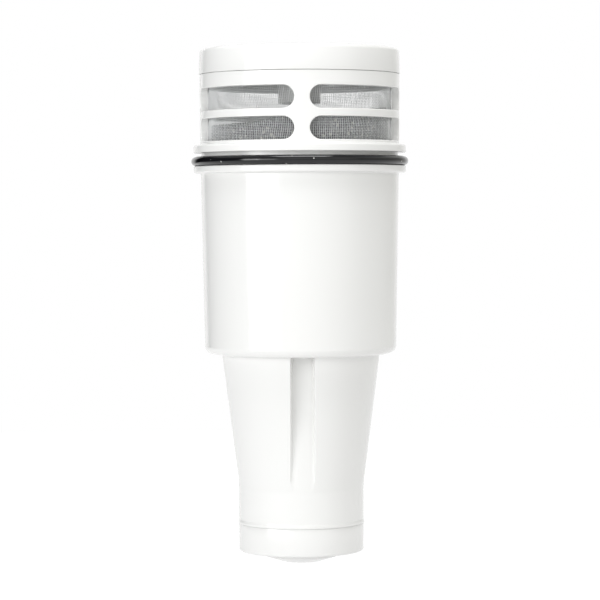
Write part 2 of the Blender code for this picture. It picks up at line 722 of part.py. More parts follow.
def main():
    clear_scene()
    white = plastic("white_plastic", (0.86, 0.86, 0.85), 0.22)
    black = plastic("black_rubber", (0.012, 0.012, 0.013), 0.28)
    mesh_white = plastic("woven_mesh", (0.72, 0.73, 0.74), 0.45)
    grains = plastic("carbon_grains", (0.055, 0.055, 0.06), 0.85)
    felt = plastic("felt", (0.82, 0.82, 0.80), 0.95)
    natural = plastic("natural_plastic", (0.78, 0.78, 0.76), 0.40)
    resin = plastic("cast_resin", (0.70, 0.60, 0.38), 0.35)
    fibre = plastic("hollow_fibre", (0.85, 0.84, 0.80), 0.60)

    make_housing(white)
    make_top_cap(white)
    make_o_ring(black)
    make_screen(mesh_white)
    make_bed(grains)
    make_pad(felt)
    make_grid(natural)
    make_case(natural)
    make_case_seal(black)
    make_potting(resin)
    make_fibre_loops(fibre)
    make_bottom_cap(white)


main()
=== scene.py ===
"""Dresses the water pitcher filter cartridge: fine shells, woven screen, loose grains and finishes."""

import json
import math
import random

import bmesh
import bpy
from bpy.props import FloatProperty, FloatVectorProperty, IntProperty, PointerProperty
from mathutils import Euler, Matrix, Vector

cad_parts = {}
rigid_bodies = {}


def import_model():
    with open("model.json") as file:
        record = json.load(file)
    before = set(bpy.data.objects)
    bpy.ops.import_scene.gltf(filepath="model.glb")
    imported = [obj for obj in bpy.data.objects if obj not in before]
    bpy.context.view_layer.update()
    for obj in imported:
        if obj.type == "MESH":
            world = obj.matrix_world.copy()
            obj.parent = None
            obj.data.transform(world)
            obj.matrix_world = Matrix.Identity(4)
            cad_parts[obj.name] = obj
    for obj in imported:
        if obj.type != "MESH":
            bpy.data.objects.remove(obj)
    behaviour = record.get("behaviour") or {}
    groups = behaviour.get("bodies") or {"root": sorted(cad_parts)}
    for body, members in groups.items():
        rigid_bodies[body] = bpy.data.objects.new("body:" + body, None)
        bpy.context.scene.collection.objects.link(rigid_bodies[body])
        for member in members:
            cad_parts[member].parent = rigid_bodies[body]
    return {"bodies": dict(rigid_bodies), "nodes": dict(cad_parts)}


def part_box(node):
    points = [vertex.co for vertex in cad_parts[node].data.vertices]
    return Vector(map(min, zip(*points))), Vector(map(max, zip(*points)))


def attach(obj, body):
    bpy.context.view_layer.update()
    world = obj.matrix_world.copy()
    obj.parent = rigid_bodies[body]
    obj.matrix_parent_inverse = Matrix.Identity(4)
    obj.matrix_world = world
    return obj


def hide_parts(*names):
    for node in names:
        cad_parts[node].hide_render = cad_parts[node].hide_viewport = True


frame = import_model()

bl_info = {
    "name": "Water Pitcher Filter Cartridge",
    "version": (1, 0, 0),
    "blender": (4, 5, 0),
    "location": "3D View > Sidebar > Cartridge",
    "description": "Builds the shells, screen, grains, finishes and studio of a pitcher filter cartridge",
    "category": "Add Mesh",
}

TURN = 2 * math.pi
BODY = "root"

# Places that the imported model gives
HOUSING_LOW, HOUSING_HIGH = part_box("housing")
RING_LOW, RING_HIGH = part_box("o_ring")
CAP_LOW, CAP_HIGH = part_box("top_cap")
FOOT_LOW, FOOT_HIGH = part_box("bottom_cap")
SCREEN_LOW, SCREEN_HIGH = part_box("mesh_screen")
BED_LOW, BED_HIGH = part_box("filter_media")

# The gap between neighbouring pieces, and the finer one that welded and resting pieces show
CLEARANCE = 0.0003
SEAM = 0.0001

# Heights of the parts of the housing and the caps
OUTLET_HEIGHT = 0.0030
FOOT_CAP_FLOOR = 0.0016
SLEEVE_HEIGHT = 0.0097
SHOULDER_WALL = 0.0018
LOWER_FLANGE_HEIGHT = 0.0017
GROOVE_HEIGHT = 0.0039
UPPER_FLANGE_HEIGHT = 0.0021
SILL_HEIGHT = 0.0009
WINDOW_HEIGHT = 0.0061
WINDOW_RIB_HEIGHT = 0.0021

# Levels, from the foot up
SLEEVE_BASE = HOUSING_LOW.z
FOOT_CAP_RIM = SLEEVE_BASE - SEAM / 2
FOOT_SPIGOT_TOP = FOOT_HIGH.z
CONE_BASE = SLEEVE_BASE + SLEEVE_HEIGHT
BODY_BASE = 0.05705
SHOULDER_TOP = BODY_BASE + SHOULDER_WALL
GROOVE_BASE = RING_LOW.z - CLEARANCE
LOWER_FLANGE_BASE = GROOVE_BASE - LOWER_FLANGE_HEIGHT
RING_SEAT = RING_LOW.z - SEAM / 2
UPPER_FLANGE_BASE = GROOVE_BASE + GROOVE_HEIGHT
CAGE_BASE = UPPER_FLANGE_BASE + UPPER_FLANGE_HEIGHT
LOWER_WINDOW_BASE = CAGE_BASE + SILL_HEIGHT
UPPER_WINDOW_BASE = LOWER_WINDOW_BASE + WINDOW_HEIGHT + WINDOW_RIB_HEIGHT
CAGE_TOP = HOUSING_HIGH.z
CAP_BASE = CAGE_TOP + SEAM
CAP_TOP = CAP_HIGH.z
SPIGOT_BASE = SCREEN_HIGH.z + CLEARANCE
SCREEN_LEDGE = SCREEN_LOW.z - CLEARANCE

# Steps and drafts inwards from the flanges
FLANGE_REACH = 0.00185
CAGE_DRAFT = 0.00015
CAP_SKIRT_LIP = 0.00015
CAP_DRAFT = 0.00025
BODY_STEP = 0.0001
BODY_DRAFT = 0.0009
SHOULDER_WIDTH = 0.00442
CONE_TAPER = 0.00458
WALL = 0.0018
SCREEN_LEDGE_WIDTH = 0.00075
SCREEN_WALL = 0.0005

# How much nearer the cage's wall comes to the screen than in the model, as no gap shows there
SCREEN_SNUG = 0.00018

# Radii
FLANGE_RADIUS = HOUSING_HIGH.x
RING_RADIUS = RING_HIGH.x
RING_CORD = RING_HIGH.z - RING_LOW.z
CAGE_FOOT_RADIUS = FLANGE_RADIUS - FLANGE_REACH
CAGE_RIM_RADIUS = CAGE_FOOT_RADIUS + CAGE_DRAFT
CAP_SKIRT_RADIUS = CAGE_RIM_RADIUS + CAP_SKIRT_LIP
CAP_RIM_RADIUS = CAP_SKIRT_RADIUS - CAP_DRAFT
BODY_RIM_RADIUS = CAGE_FOOT_RADIUS - BODY_STEP
BODY_FOOT_RADIUS = BODY_RIM_RADIUS - BODY_DRAFT
CONE_RIM_RADIUS = BODY_FOOT_RADIUS - SHOULDER_WIDTH
SLEEVE_RADIUS = CONE_RIM_RADIUS - CONE_TAPER
CAGE_BORE = CAGE_FOOT_RADIUS - WALL
BODY_RIM_BORE = CAGE_BORE - SCREEN_LEDGE_WIDTH
BODY_FOOT_BORE = BODY_FOOT_RADIUS - WALL
CONE_RIM_BORE = CONE_RIM_RADIUS - WALL
SLEEVE_BORE = SLEEVE_RADIUS - WALL
SCREEN_RADIUS = CAGE_BORE - CLEARANCE - SCREEN_WALL / 2

# Edges of the housing
FINE_FILLET = 0.0001
CAGE_RIM_FILLET = 0.00012
FLANGE_FILLET = 0.0006
FLANGE_ROOT_FILLET = 0.0004
GROOVE_EDGE_FILLET = 0.0003
SHOULDER_FILLET = 0.0021
CONE_ROOT_FILLET = 0.0006
CONE_FOOT_BLEND = 0.0100
WELD_BEAD = 0.00015
WELD_BEAD_HEIGHT = 0.0006

# Top cap and foot cap
CAP_WALL = 0.0020
CAP_EDGE_FILLET = 0.0011
CAP_POST_RADIUS = 0.00575
SPIGOT_WALL = 0.0014
FOOT_CAP_DRAFT = 0.00015
OUTLET_RADIUS = 0.0103
OUTLET_FACE_RADIUS = 0.0053
OUTLET_CHAMFER_HEIGHT = 0.0016
OUTLET_BORE = 0.0018
DRAIN_RADIUS = 0.0045

# Windows and flutes
WINDOWS_AROUND = 4
PILLAR_WIDTH = 0.0042
WINDOW_END_STEPS = 12
FLUTES = 4
FLUTE_WIDTH = 0.0064
FLUTE_FLOOR_STEPS = 12
FLUTE_END_LIFT = 0.00005
FLUTE_LEVELS = 24
EDGE_STEPS = 4
EDGE_TURN = math.radians(80)
CUT_MARGIN = 0.0004

# Ring seal and woven screen: some threads are thicker than their neighbours, in turn
RING_CORD_STEPS = 40
THREAD_SIDES = 3
THREAD_TURNS = [TURN * side / THREAD_SIDES for side in range(THREAD_SIDES)]
UPRIGHT_THICKNESS = 1.3
HOOP_THICKNESS = 0.8
HOOP_SHARE = 0.8
REED_SHARE = 0.25
REED_UPRIGHTS = 3
REED_HOOPS = 4
THREAD_LEAN = 0.06
THREAD_WAVE = 0.0002
THREAD_WAVE_HEIGHT = 0.011
THREAD_WAVES_AROUND = 5
HEM_HALF_DEPTH = 0.00012
HEM_STEPS = 128

# The bed's heaped top, as in the model
BED_LEVEL = 0.1214
BED_HEAP = 0.0022
HEAP_TURN = math.radians(10)
BED_DIP = 0.0012
DIP_AZIMUTH = math.radians(222)
DIP_WIDTH = math.radians(24)
RIPPLE_SHARE = 0.12

# The bed's grains, with their distances as shares of a grain
GRAIN_SEED = 5
GRAIN_SPACING = 0.85
GRAIN_ROW = 0.8
TOP_GRAIN_SPACING = 0.9
GRAIN_JITTER = 0.3
CORE_STEPS = 96
CORE_RINGS = 12

# What the group for moulded plastic, resin and rubber takes
MOULDED_INPUTS = ("Wave Scale", "Grain Scale", "Grain Share", "Gloss Low", "Gloss High")

# The dust on the ring seal, and the share of light that passes through a thread of the screen
DUST_COLOUR = (0.55, 0.55, 0.53)
THROUGH_SHARE = 0.45

# The camera's sensor in millimetres, and where the softboxes hang
SENSOR_WIDTH = 36.0
SOFTBOX_DISTANCE = 0.9
SOFTBOX_AIM = Vector((0, 0, 0.09))
SPILL_SHARE = 0.75

# The floor's colour, and its glow as it lights the cartridge and as it is seen
WHITE = (1.0, 1.0, 1.0)
FLOOR_COLOUR = (0.20, 0.20, 0.20)
FLOOR_GLOW = 0.63
FLOOR_GLOW_SEEN = 0.90

# Where the room changes, as the upward or backward part of a direction
ABOVE_FLOOR = (-0.06, -0.04)
ABOVE_WALL = (0.32, 0.38)
ABOVE_BANK = (0.56, 0.64)
BEHIND_CARTRIDGE = (0.80, 0.90)
ZENITH_LIGHT = (0.19, 0.19, 0.19)


# Settings


def length_setting(name, description, default):
    """A length that the sidebar shows."""
    return FloatProperty(
        name=name, description=description, default=default, subtype="DISTANCE", unit="LENGTH", precision=6
    )


def angle_setting(name, description, degrees):
    """An angle that the sidebar shows."""
    return FloatProperty(name=name, description=description, default=math.radians(degrees), subtype="ANGLE")


def power_setting(name, description, default):
    """A lamp's power that the sidebar shows."""
    return FloatProperty(name=name, description=description, default=default, subtype="POWER", unit="POWER")


def colour_setting(name, description, default):
    """A colour that the sidebar shows."""
    return FloatVectorProperty(
        name=name, description=description, default=default, subtype="COLOR", size=3, min=0, max=1
    )


class CartridgeSizes(bpy.types.PropertyGroup):
    """Sizes of the fine detail."""

    shell_steps: IntProperty(
        name="Shell Steps", description="Facets round the shells", default=256, min=64, max=512
    )
    arc_error: length_setting("Arc Error", "How far a fillet's facets may stray from its arc", 0.000006)
    window_edge: length_setting("Window Edge", "Radius of the windows' outer edges", 0.0003)
    flute_edge: length_setting("Flute Edge", "Radius of the flutes' edges", 0.00025)
    thread: length_setting("Thread", "Thickness of the screen's threads", 0.000105)
    thread_pitch: length_setting("Thread Pitch", "Distance between the screen's upright threads", 0.00056)
    hem: length_setting("Hem", "Height of the screen's welded hems", 0.0008)
    grain: length_setting("Grain", "Width of a typical grain of the bed", 0.0008)


class CartridgeColours(bpy.types.PropertyGroup):
    """Colours of the finishes."""

    plastic: colour_setting("White Plastic", "Housing and caps", (0.86, 0.86, 0.85))
    rubber: colour_setting("Rubber", "Ring seals", (0.005, 0.005, 0.006))
    thread: colour_setting("Thread", "Woven screen", (0.96, 0.97, 0.97))
    carbon: colour_setting("Carbon", "Dark grains of the bed", (0.10, 0.10, 0.105))
    resin_bead: colour_setting("Pale Grain", "The few pale grains of the bed", (0.55, 0.54, 0.50))
    felt: colour_setting("Felt", "Pad under the bed", (0.82, 0.82, 0.80))
    satin: colour_setting("Natural Plastic", "Grid and fibre case", (0.78, 0.78, 0.76))
    resin: colour_setting("Cast Resin", "Resin that holds the fibres", (0.70, 0.60, 0.38))
    fibre: colour_setting("Hollow Fibre", "Looped fibres", (0.85, 0.84, 0.80))


class CartridgeStudio(bpy.types.PropertyGroup):
    """Camera, light and floor."""

    lens: FloatProperty(name="Lens", description="Focal length in mm", default=150.4, min=20, max=400)
    distance: length_setting("Distance", "From the cartridge's axis to the camera", 0.68586)
    height: length_setting("Height", "Camera above the floor", 0.09655)
    side: length_setting("Side", "Camera's step to the right", 0.002526)
    around: angle_setting("Around", "Camera's turn round the cartridge", -1.6)
    pitch: angle_setting("Pitch", "Tilt down", 2.090)
    pan: angle_setting("Pan", "Turn to the right", -0.2206)
    roll: angle_setting("Roll", "Lean of the frame", -0.266)
    key_power: power_setting("Key Power", "Power of the softbox on the left", 1.9)
    top_power: power_setting("Overhead Power", "Power of the softbox above", 5.1)
    surround: FloatProperty(name="Surround", description="Strength of the room", default=2.5, min=0, max=4)
    floor_size: length_setting("Floor Size", "Side of the floor", 0.8)


# Meshes


def rounded(corners, arc_error):
    """The closed outline through corners (radius, height, fillet), with each fillet as an arc."""
    points = []
    for index, (across, up, fillet) in enumerate(corners):
        corner = Vector((across, up))
        if fillet == 0:
            points.append(corner)
            continue
        back = Vector(corners[index - 1][:2]) - corner
        ahead = Vector(corners[(index + 1) % len(corners)][:2]) - corner
        half = back.angle(ahead) / 2
        reach = min(fillet / math.tan(half), 0.49 * back.length, 0.49 * ahead.length)
        radius = reach * math.tan(half)
        centre = corner + (back.normalized() + ahead.normalized()).normalized() * radius / math.sin(half)
        start = corner + back.normalized() * reach - centre
        end = corner + ahead.normalized() * reach - centre
        sweep = math.atan2(start.cross(end), start.dot(end))
        widest_step = 2 * math.acos(max(0.0, 1 - arc_error / radius))
        steps = max(3, math.ceil(abs(sweep) / widest_step))
        first = math.atan2(start.y, start.x)
        for step in range(steps + 1):
            angle = first + sweep * step / steps
            points.append(centre + radius * Vector((math.cos(angle), math.sin(angle))))
    return points


def closed_mesh(name, shape):
    """A mesh from a closed bmesh, with its faces turned outwards."""
    bmesh.ops.remove_doubles(shape, verts=shape.verts, dist=1e-7)
    bmesh.ops.recalc_face_normals(shape, faces=shape.faces)
    mesh = bpy.data.meshes.new(name)
    shape.to_mesh(mesh)
    shape.free()
    return mesh


def turned_mesh(name, outline, steps):
    """The mesh that a closed outline of (radius, height) points sweeps round the axis."""
    shape = bmesh.new()
    verts = [shape.verts.new((point[0], 0.0, point[1])) for point in outline]
    edges = []
    for index, vert in enumerate(verts):
        after = verts[(index + 1) % len(verts)]
        on_axis = vert.co.x == 0 and after.co.x == 0
        if not on_axis:
            edges.append(shape.edges.new((vert, after)))
    bmesh.ops.spin(
        shape, geom=verts + edges, axis=(0, 0, 1), cent=(0, 0, 0), angle=TURN, steps=steps, use_merge=True
    )
    return closed_mesh(name, shape)


def lofted_mesh(name, rings):
    """The mesh through rings of as many points each, closed at both ends."""
    shape = bmesh.new()
    rows = [[shape.verts.new(point) for point in ring] for ring in rings]
    around = len(rows[0])
    for near, far in zip(rows, rows[1:]):
        for index in range(around):
            after = (index + 1) % around
            shape.faces.new((near[index], near[after], far[after], far[index]))
    shape.faces.new(rows[0])
    shape.faces.new(rows[-1])
    return closed_mesh(name, shape)


def linked(name, mesh):
    """A new object in the scene with this mesh."""
    item = bpy.data.objects.new(name, mesh)
    bpy.context.scene.collection.objects.link(item)
    return item


def shape_with(item, meshes, count, operation):
    """Cuts copies of meshes out of an object, or joins them to it, spaced evenly round the axis."""
    ring = bpy.data.collections.new("tools")
    bpy.context.scene.collection.children.link(ring)
    for mesh in meshes:
        for index in range(count):
            copy = mesh.copy()
            copy.transform(Matrix.Rotation(TURN * index / count, 4, "Z"))
            ring.objects.link(bpy.data.objects.new(f"{mesh.name}_{index + 1}", copy))
    modifier = item.modifiers.new("shaping", "BOOLEAN")
    modifier.operation = operation
    modifier.operand_type = "COLLECTION"
    modifier.collection = ring
    modifier.solver = "EXACT"
    bpy.context.view_layer.update()
    evaluated = item.evaluated_get(bpy.context.evaluated_depsgraph_get())
    result = bpy.data.meshes.new_from_object(evaluated)
    item.modifiers.clear()
    item.data = result
    for tool in list(ring.objects):
        bpy.data.objects.remove(tool)
    bpy.data.collections.remove(ring)


def finish_piece(item, material, slot, *nodes):
    """Smooths a piece, gives it its finish, and stands it in for its solids."""
    item.data.materials.clear()
    item.data.materials.append(material)
    item.data.shade_smooth()
    item.data.set_sharp_from_angle(angle=math.radians(32))
    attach(item, BODY)
    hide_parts(*nodes)


def keep_normals_even(item):
    """Lets the large faces steer the shading where a cut meets a round wall."""
    modifier = item.modifiers.new("even_normals", "WEIGHTED_NORMAL")
    modifier.keep_sharp = True
    modifier.weight = 80


def on_circle(radius, angle, height):
    """A point round the axis."""
    return radius * math.cos(angle), radius * math.sin(angle), height


def ring_mesh_data(verts, faces, radius, level, across, up, steps):
    """Adds a ring with a four-sided section to lists of verts and faces."""
    first = len(verts)
    for step in range(steps):
        angle = TURN * step / steps
        for out, rise in ((-across, -up), (across, -up), (across, up), (-across, up)):
            verts.append(on_circle(radius + out, angle, level + rise))
    for step in range(steps):
        near = first + 4 * step
        far = first + 4 * ((step + 1) % steps)
        for side in range(4):
            after = (side + 1) % 4
            faces.append((near + side, far + side, far + after, near + after))


def mesh_of(name, verts, faces):
    """A mesh from lists of verts and faces."""
    mesh = bpy.data.meshes.new(name)
    mesh.from_pydata(verts, [], faces)
    mesh.validate()
    return mesh


# Outlines


def housing_outline(arc_error):
    """The housing's wall: down the outside from the cage's rim, then up the inside."""
    groove_floor = RING_RADIUS - RING_CORD - CLEARANCE
    bead_radius = SLEEVE_RADIUS + WELD_BEAD
    bead_top = SLEEVE_BASE + WELD_BEAD_HEIGHT
    snug_bore = CAGE_BORE - SCREEN_SNUG
    corners = [
        (CAGE_RIM_RADIUS, CAGE_TOP, CAGE_RIM_FILLET),
        (CAGE_FOOT_RADIUS, CAGE_BASE, FLANGE_ROOT_FILLET),
        (FLANGE_RADIUS, CAGE_BASE, FLANGE_FILLET),
        (FLANGE_RADIUS, UPPER_FLANGE_BASE - SEAM, GROOVE_EDGE_FILLET),
        (groove_floor, UPPER_FLANGE_BASE, FINE_FILLET),
        (groove_floor, RING_SEAT, FINE_FILLET),
        (FLANGE_RADIUS, RING_SEAT, GROOVE_EDGE_FILLET),
        (FLANGE_RADIUS, LOWER_FLANGE_BASE, FLANGE_FILLET),
        (BODY_RIM_RADIUS, LOWER_FLANGE_BASE, FLANGE_ROOT_FILLET),
        (BODY_FOOT_RADIUS, BODY_BASE, SHOULDER_FILLET),
        (CONE_RIM_RADIUS, BODY_BASE, CONE_ROOT_FILLET),
        (SLEEVE_RADIUS, CONE_BASE, CONE_FOOT_BLEND),
        (SLEEVE_RADIUS, SLEEVE_BASE + 2 * WELD_BEAD_HEIGHT, 0.0012),
        (bead_radius, bead_top, 0.0004),
        (bead_radius, SLEEVE_BASE, 0.00008),
        (SLEEVE_BORE, SLEEVE_BASE, 0),
        (SLEEVE_BORE, CONE_BASE, 0),
        (CONE_RIM_BORE, SHOULDER_TOP, 0),
        (BODY_FOOT_BORE, SHOULDER_TOP, 0),
        (BODY_RIM_BORE, SCREEN_LEDGE, 0),
        (snug_bore, SCREEN_LEDGE, 0),
        (snug_bore, CAGE_TOP, FINE_FILLET),
    ]
    return rounded(corners, arc_error)


def top_cap_outline(arc_error):
    """The cap's section: skirt, spigot and hollow post."""
    underside = CAP_TOP - CAP_WALL
    spigot_radius = CAGE_BORE - CLEARANCE
    spigot_bore = spigot_radius - SPIGOT_WALL
    post_bore = CAP_POST_RADIUS - SPIGOT_WALL
    corners = [
        (0, CAP_TOP, 0),
        (CAP_RIM_RADIUS, CAP_TOP, CAP_EDGE_FILLET),
        (CAP_SKIRT_RADIUS, CAP_BASE, 0.00015),
        (spigot_radius, CAP_BASE, 0),
        (spigot_radius, SPIGOT_BASE, 0.0002),
        (spigot_bore, SPIGOT_BASE, 0.0002),
        (spigot_bore, underside, 0.0004),
        (CAP_POST_RADIUS, underside, 0.0004),
        (CAP_POST_RADIUS, CAP_LOW.z, 0.0003),
        (post_bore, CAP_LOW.z, 0.0002),
        (post_bore, underside, 0),
        (0, underside, 0),
    ]
    return rounded(corners, arc_error)


def foot_cap_outline(arc_error):
    """The foot cap's section: cup, spigot and outlet nose."""
    spigot_radius = SLEEVE_BORE - CLEARANCE
    spigot_bore = spigot_radius - SPIGOT_WALL
    floor = OUTLET_HEIGHT + FOOT_CAP_FLOOR
    corners = [
        (spigot_radius, FOOT_SPIGOT_TOP, 0.0002),
        (spigot_radius, FOOT_CAP_RIM, 0),
        (SLEEVE_RADIUS, FOOT_CAP_RIM, 0.00008),
        (SLEEVE_RADIUS - FOOT_CAP_DRAFT, OUTLET_HEIGHT, 0.0005),
        (OUTLET_RADIUS, OUTLET_HEIGHT, 0.0002),
        (OUTLET_RADIUS, OUTLET_CHAMFER_HEIGHT, 0.0006),
        (OUTLET_FACE_RADIUS, 0, 0.0020),
        (OUTLET_BORE, 0, 0.0002),
        (OUTLET_BORE, OUTLET_HEIGHT, 0),
        (DRAIN_RADIUS, floor, 0),
        (spigot_bore, floor, 0.0005),
        (spigot_bore, FOOT_SPIGOT_TOP, 0.0002),
    ]
    return rounded(corners, arc_error)


def skin_radius(height):
    """The outer radius of the cage or the cone at a height, before the cone's blend."""
    if height >= CAGE_BASE:
        share = (height - CAGE_BASE) / (CAGE_TOP - CAGE_BASE)
        return CAGE_FOOT_RADIUS + (CAGE_RIM_RADIUS - CAGE_FOOT_RADIUS) * share
    share = (height - CONE_BASE) / (BODY_BASE - CONE_BASE)
    return SLEEVE_RADIUS + (CONE_RIM_RADIUS - SLEEVE_RADIUS) * max(share, 0.0)


def edge_profile(radius):
    """Points (depth under the skin, step outwards) along a rounded edge, from the wall to past the skin."""
    points = []
    for step in range(EDGE_STEPS + 1):
        angle = EDGE_TURN * step / EDGE_STEPS
        points.append((radius - radius * math.sin(angle), radius - radius * math.cos(angle)))
    points.append((-CUT_MARGIN, points[-1][1]))
    return points


def window_columns(step_out, steps):
    """Columns (angle, half height) across a window moved outwards by step_out, tip to tip."""
    end_radius = WINDOW_HEIGHT / 2
    pillar_angle = math.asin(PILLAR_WIDTH / 2 / CAGE_FOOT_RADIUS)
    span = TURN / WINDOWS_AROUND
    facet = TURN / steps
    first = pillar_angle + end_radius / CAGE_FOOT_RADIUS
    columns = []
    for step in range(WINDOW_END_STEPS + 1):
        turn = math.pi / 2 * step / WINDOW_END_STEPS
        inward = (end_radius - (end_radius + step_out) * math.cos(turn)) / CAGE_FOOT_RADIUS
        columns.append((pillar_angle + inward, (end_radius + step_out) * math.sin(turn)))
    straight = []
    for step in range(1, steps):
        angle = facet * (step + 0.5)
        if first + facet / 3 < angle < span - first - facet / 3:
            straight.append((angle, end_radius + step_out))
    return columns + straight + [(span - angle, half) for angle, half in reversed(columns)]


def window_cutter(name, base, edge, steps):
    """A window's opening, with its outer edge rounded."""
    middle = base + WINDOW_HEIGHT / 2
    shape = bmesh.new()
    rows = []
    for depth, step_out in [(3 * WALL, 0.0)] + edge_profile(edge):
        upper, lower = [], []
        for angle, half in window_columns(step_out, steps):
            top = on_circle(skin_radius(middle + half) - depth, angle, middle + half)
            foot = on_circle(skin_radius(middle - half) - depth, angle, middle - half)
            upper.append(shape.verts.new(top))
            tip = half < 1e-9
            lower.append(upper[-1] if tip else shape.verts.new(foot))
        rows.append((upper, lower))
    for index in range(len(rows[0][0]) - 1):
        for upper, lower in (rows[0], rows[-1]):
            loop = [lower[index], lower[index + 1], upper[index + 1], upper[index]]
            shape.faces.new(list(dict.fromkeys(loop)))
        for (upper, lower), (upper_out, lower_out) in zip(rows, rows[1:]):
            shape.faces.new((upper[index], upper[index + 1], upper_out[index + 1], upper_out[index]))
            shape.faces.new((lower[index + 1], lower[index], lower_out[index], lower_out[index + 1]))
    return closed_mesh(name, shape)


def flute_cutter(name, edge):
    """A flute: an upright curved floor, two parallel walls and rounded edges along the cone."""
    half_width = FLUTE_WIDTH / 2
    floor_radius = SLEEVE_RADIUS + FLUTE_END_LIFT
    half_angle = math.asin(half_width / floor_radius)
    low = CONE_BASE - WALL
    high = BODY_BASE + CLEARANCE
    rings = []
    for level in range(FLUTE_LEVELS + 1):
        height = low + (high - low) * level / FLUTE_LEVELS
        skin = math.sqrt(skin_radius(height) ** 2 - half_width ** 2)
        side = [(max(skin - depth, floor_radius), half_width + step) for depth, step in edge_profile(edge)]
        side[-1] = (max(side[-1][0], floor_radius + CUT_MARGIN), side[-1][1])
        ring = [(x, -y, height) for x, y in reversed(side)]
        for step in range(1, FLUTE_FLOOR_STEPS):
            angle = half_angle * (2 * step / FLUTE_FLOOR_STEPS - 1)
            ring.append(on_circle(floor_radius, angle, height))
        ring += [(x, y, height) for x, y in side]
        rings.append(ring)
    return lofted_mesh(name, rings)


def flute_block(name):
    """The flute's wall inside the cone."""
    mid_wall = WALL / 2
    half_width = FLUTE_WIDTH / 2 + WALL
    side = [
        (SLEEVE_BORE, CONE_BASE + WALL),
        (SLEEVE_RADIUS - mid_wall, CONE_BASE + WALL),
        (CONE_RIM_RADIUS - mid_wall, BODY_BASE + mid_wall),
        (SLEEVE_BORE, BODY_BASE + mid_wall),
    ]
    return lofted_mesh(name, [[(x, y, z) for x, z in side] for y in (-half_width, half_width)])


def thread_angle(column, across, level):
    """Where an upright thread stands at a height: cloth that is drawn round leans and waves a little."""
    angle = TURN * column / across
    rise = level - SCREEN_LOW.z
    wave = math.sin(TURN * rise / THREAD_WAVE_HEIGHT + THREAD_WAVES_AROUND * angle)
    return angle + (THREAD_LEAN * rise + THREAD_WAVE * wave) / SCREEN_RADIUS


def bed_height(share, angle):
    """The height of the bed's top: heaped towards one side, with a hollow by a front window."""
    heap = BED_HEAP * share * math.cos(angle + HEAP_TURN)
    turn = math.remainder(angle - DIP_AZIMUTH, TURN)
    dip = BED_DIP * share ** 2 * math.exp(-((turn / DIP_WIDTH) ** 2))
    ripple = RIPPLE_SHARE * BED_HEAP * share * math.sin(5 * angle + 3 * share)
    return BED_LEVEL + heap - dip + ripple


# Finishes


def add_node(tree, kind, settings=None, values=None):
    """A shader node with its settings, and its sockets set or linked."""
    item = tree.nodes.new(kind)
    for key, value in (settings or {}).items():
        setattr(item, key, value)
    for key, value in (values or {}).items():
        socket = item.inputs[key]
        if isinstance(value, bpy.types.NodeSocket):
            tree.links.new(value, socket)
        else:
            socket.default_value = value
    return item


def new_group(name, inputs, outputs):
    """A shader node group with float inputs (name, default) and float outputs."""
    group = bpy.data.node_groups.new(name, "ShaderNodeTree")
    for label, default in inputs:
        socket = group.interface.new_socket(name=label, in_out="INPUT", socket_type="NodeSocketFloat")
        socket.default_value = default
    for label in outputs:
        group.interface.new_socket(name=label, in_out="OUTPUT", socket_type="NodeSocketFloat")
    source = group.nodes.new("NodeGroupInput")
    sink = group.nodes.new("NodeGroupOutput")
    return group, source.outputs, sink.inputs


def noise(tree, place, scale, detail=2.0, roughness=0.5):
    """A noise texture's value at a place."""
    item = add_node(
        tree, "ShaderNodeTexNoise", None,
        {"Vector": place, "Scale": scale, "Detail": detail, "Roughness": roughness},
    )
    return item.outputs["Fac"]


def maths(tree, operation, first, second):
    """What a math node makes of two values."""
    return add_node(tree, "ShaderNodeMath", {"operation": operation}, {0: first, 1: second}).outputs[0]


def largest(tree, value, *others):
    """The largest of some values."""
    for other in others:
        value = maths(tree, "MAXIMUM", value, other)
    return value


def spread(tree, value, low, high, to_low=0.0, to_high=1.0):
    """A value mapped from one range to another, and clamped to it."""
    values = {"Value": value, "From Min": low, "From Max": high, "To Min": to_low, "To Max": to_high}
    return add_node(tree, "ShaderNodeMapRange", {"clamp": True}, values).outputs["Result"]


def blend(tree, factor, below, over):
    """A colour that changes from below to over; either is a socket or a plain colour."""
    mix = add_node(tree, "ShaderNodeMix", {"data_type": "RGBA"}, {"Factor": factor})
    for label, colour in (("A", below), ("B", over)):
        socket = next(item for item in mix.inputs if item.type == "RGBA" and item.name == label)
        if isinstance(colour, bpy.types.NodeSocket):
            tree.links.new(colour, socket)
        else:
            socket.default_value = (*colour, 1.0)
    return next(item for item in mix.outputs if item.type == "RGBA")


def moulded_finish_group(name):
    """Moulded plastic, resin or rubber: a faint wave, a fine grain, and a gloss that varies."""
    inputs = zip(MOULDED_INPUTS, (60.0, 4000.0, 0.3, 0.1, 0.2))
    group, given, out = new_group(name, inputs, ("Tone", "Roughness", "Height"))
    place = add_node(group, "ShaderNodeTexCoord").outputs["Object"]
    wave = noise(group, place, given["Wave Scale"], 1.0)
    grain = noise(group, place, given["Grain Scale"], 2.0)
    patches = noise(group, place, 180.0, 3.0)
    height = maths(group, "ADD", wave, maths(group, "MULTIPLY", grain, given["Grain Share"]))
    gloss = spread(group, patches, 0.3, 0.7, given["Gloss Low"], given["Gloss High"])
    group.links.new(wave, out["Tone"])
    group.links.new(gloss, out["Roughness"])
    group.links.new(height, out["Height"])
    return group


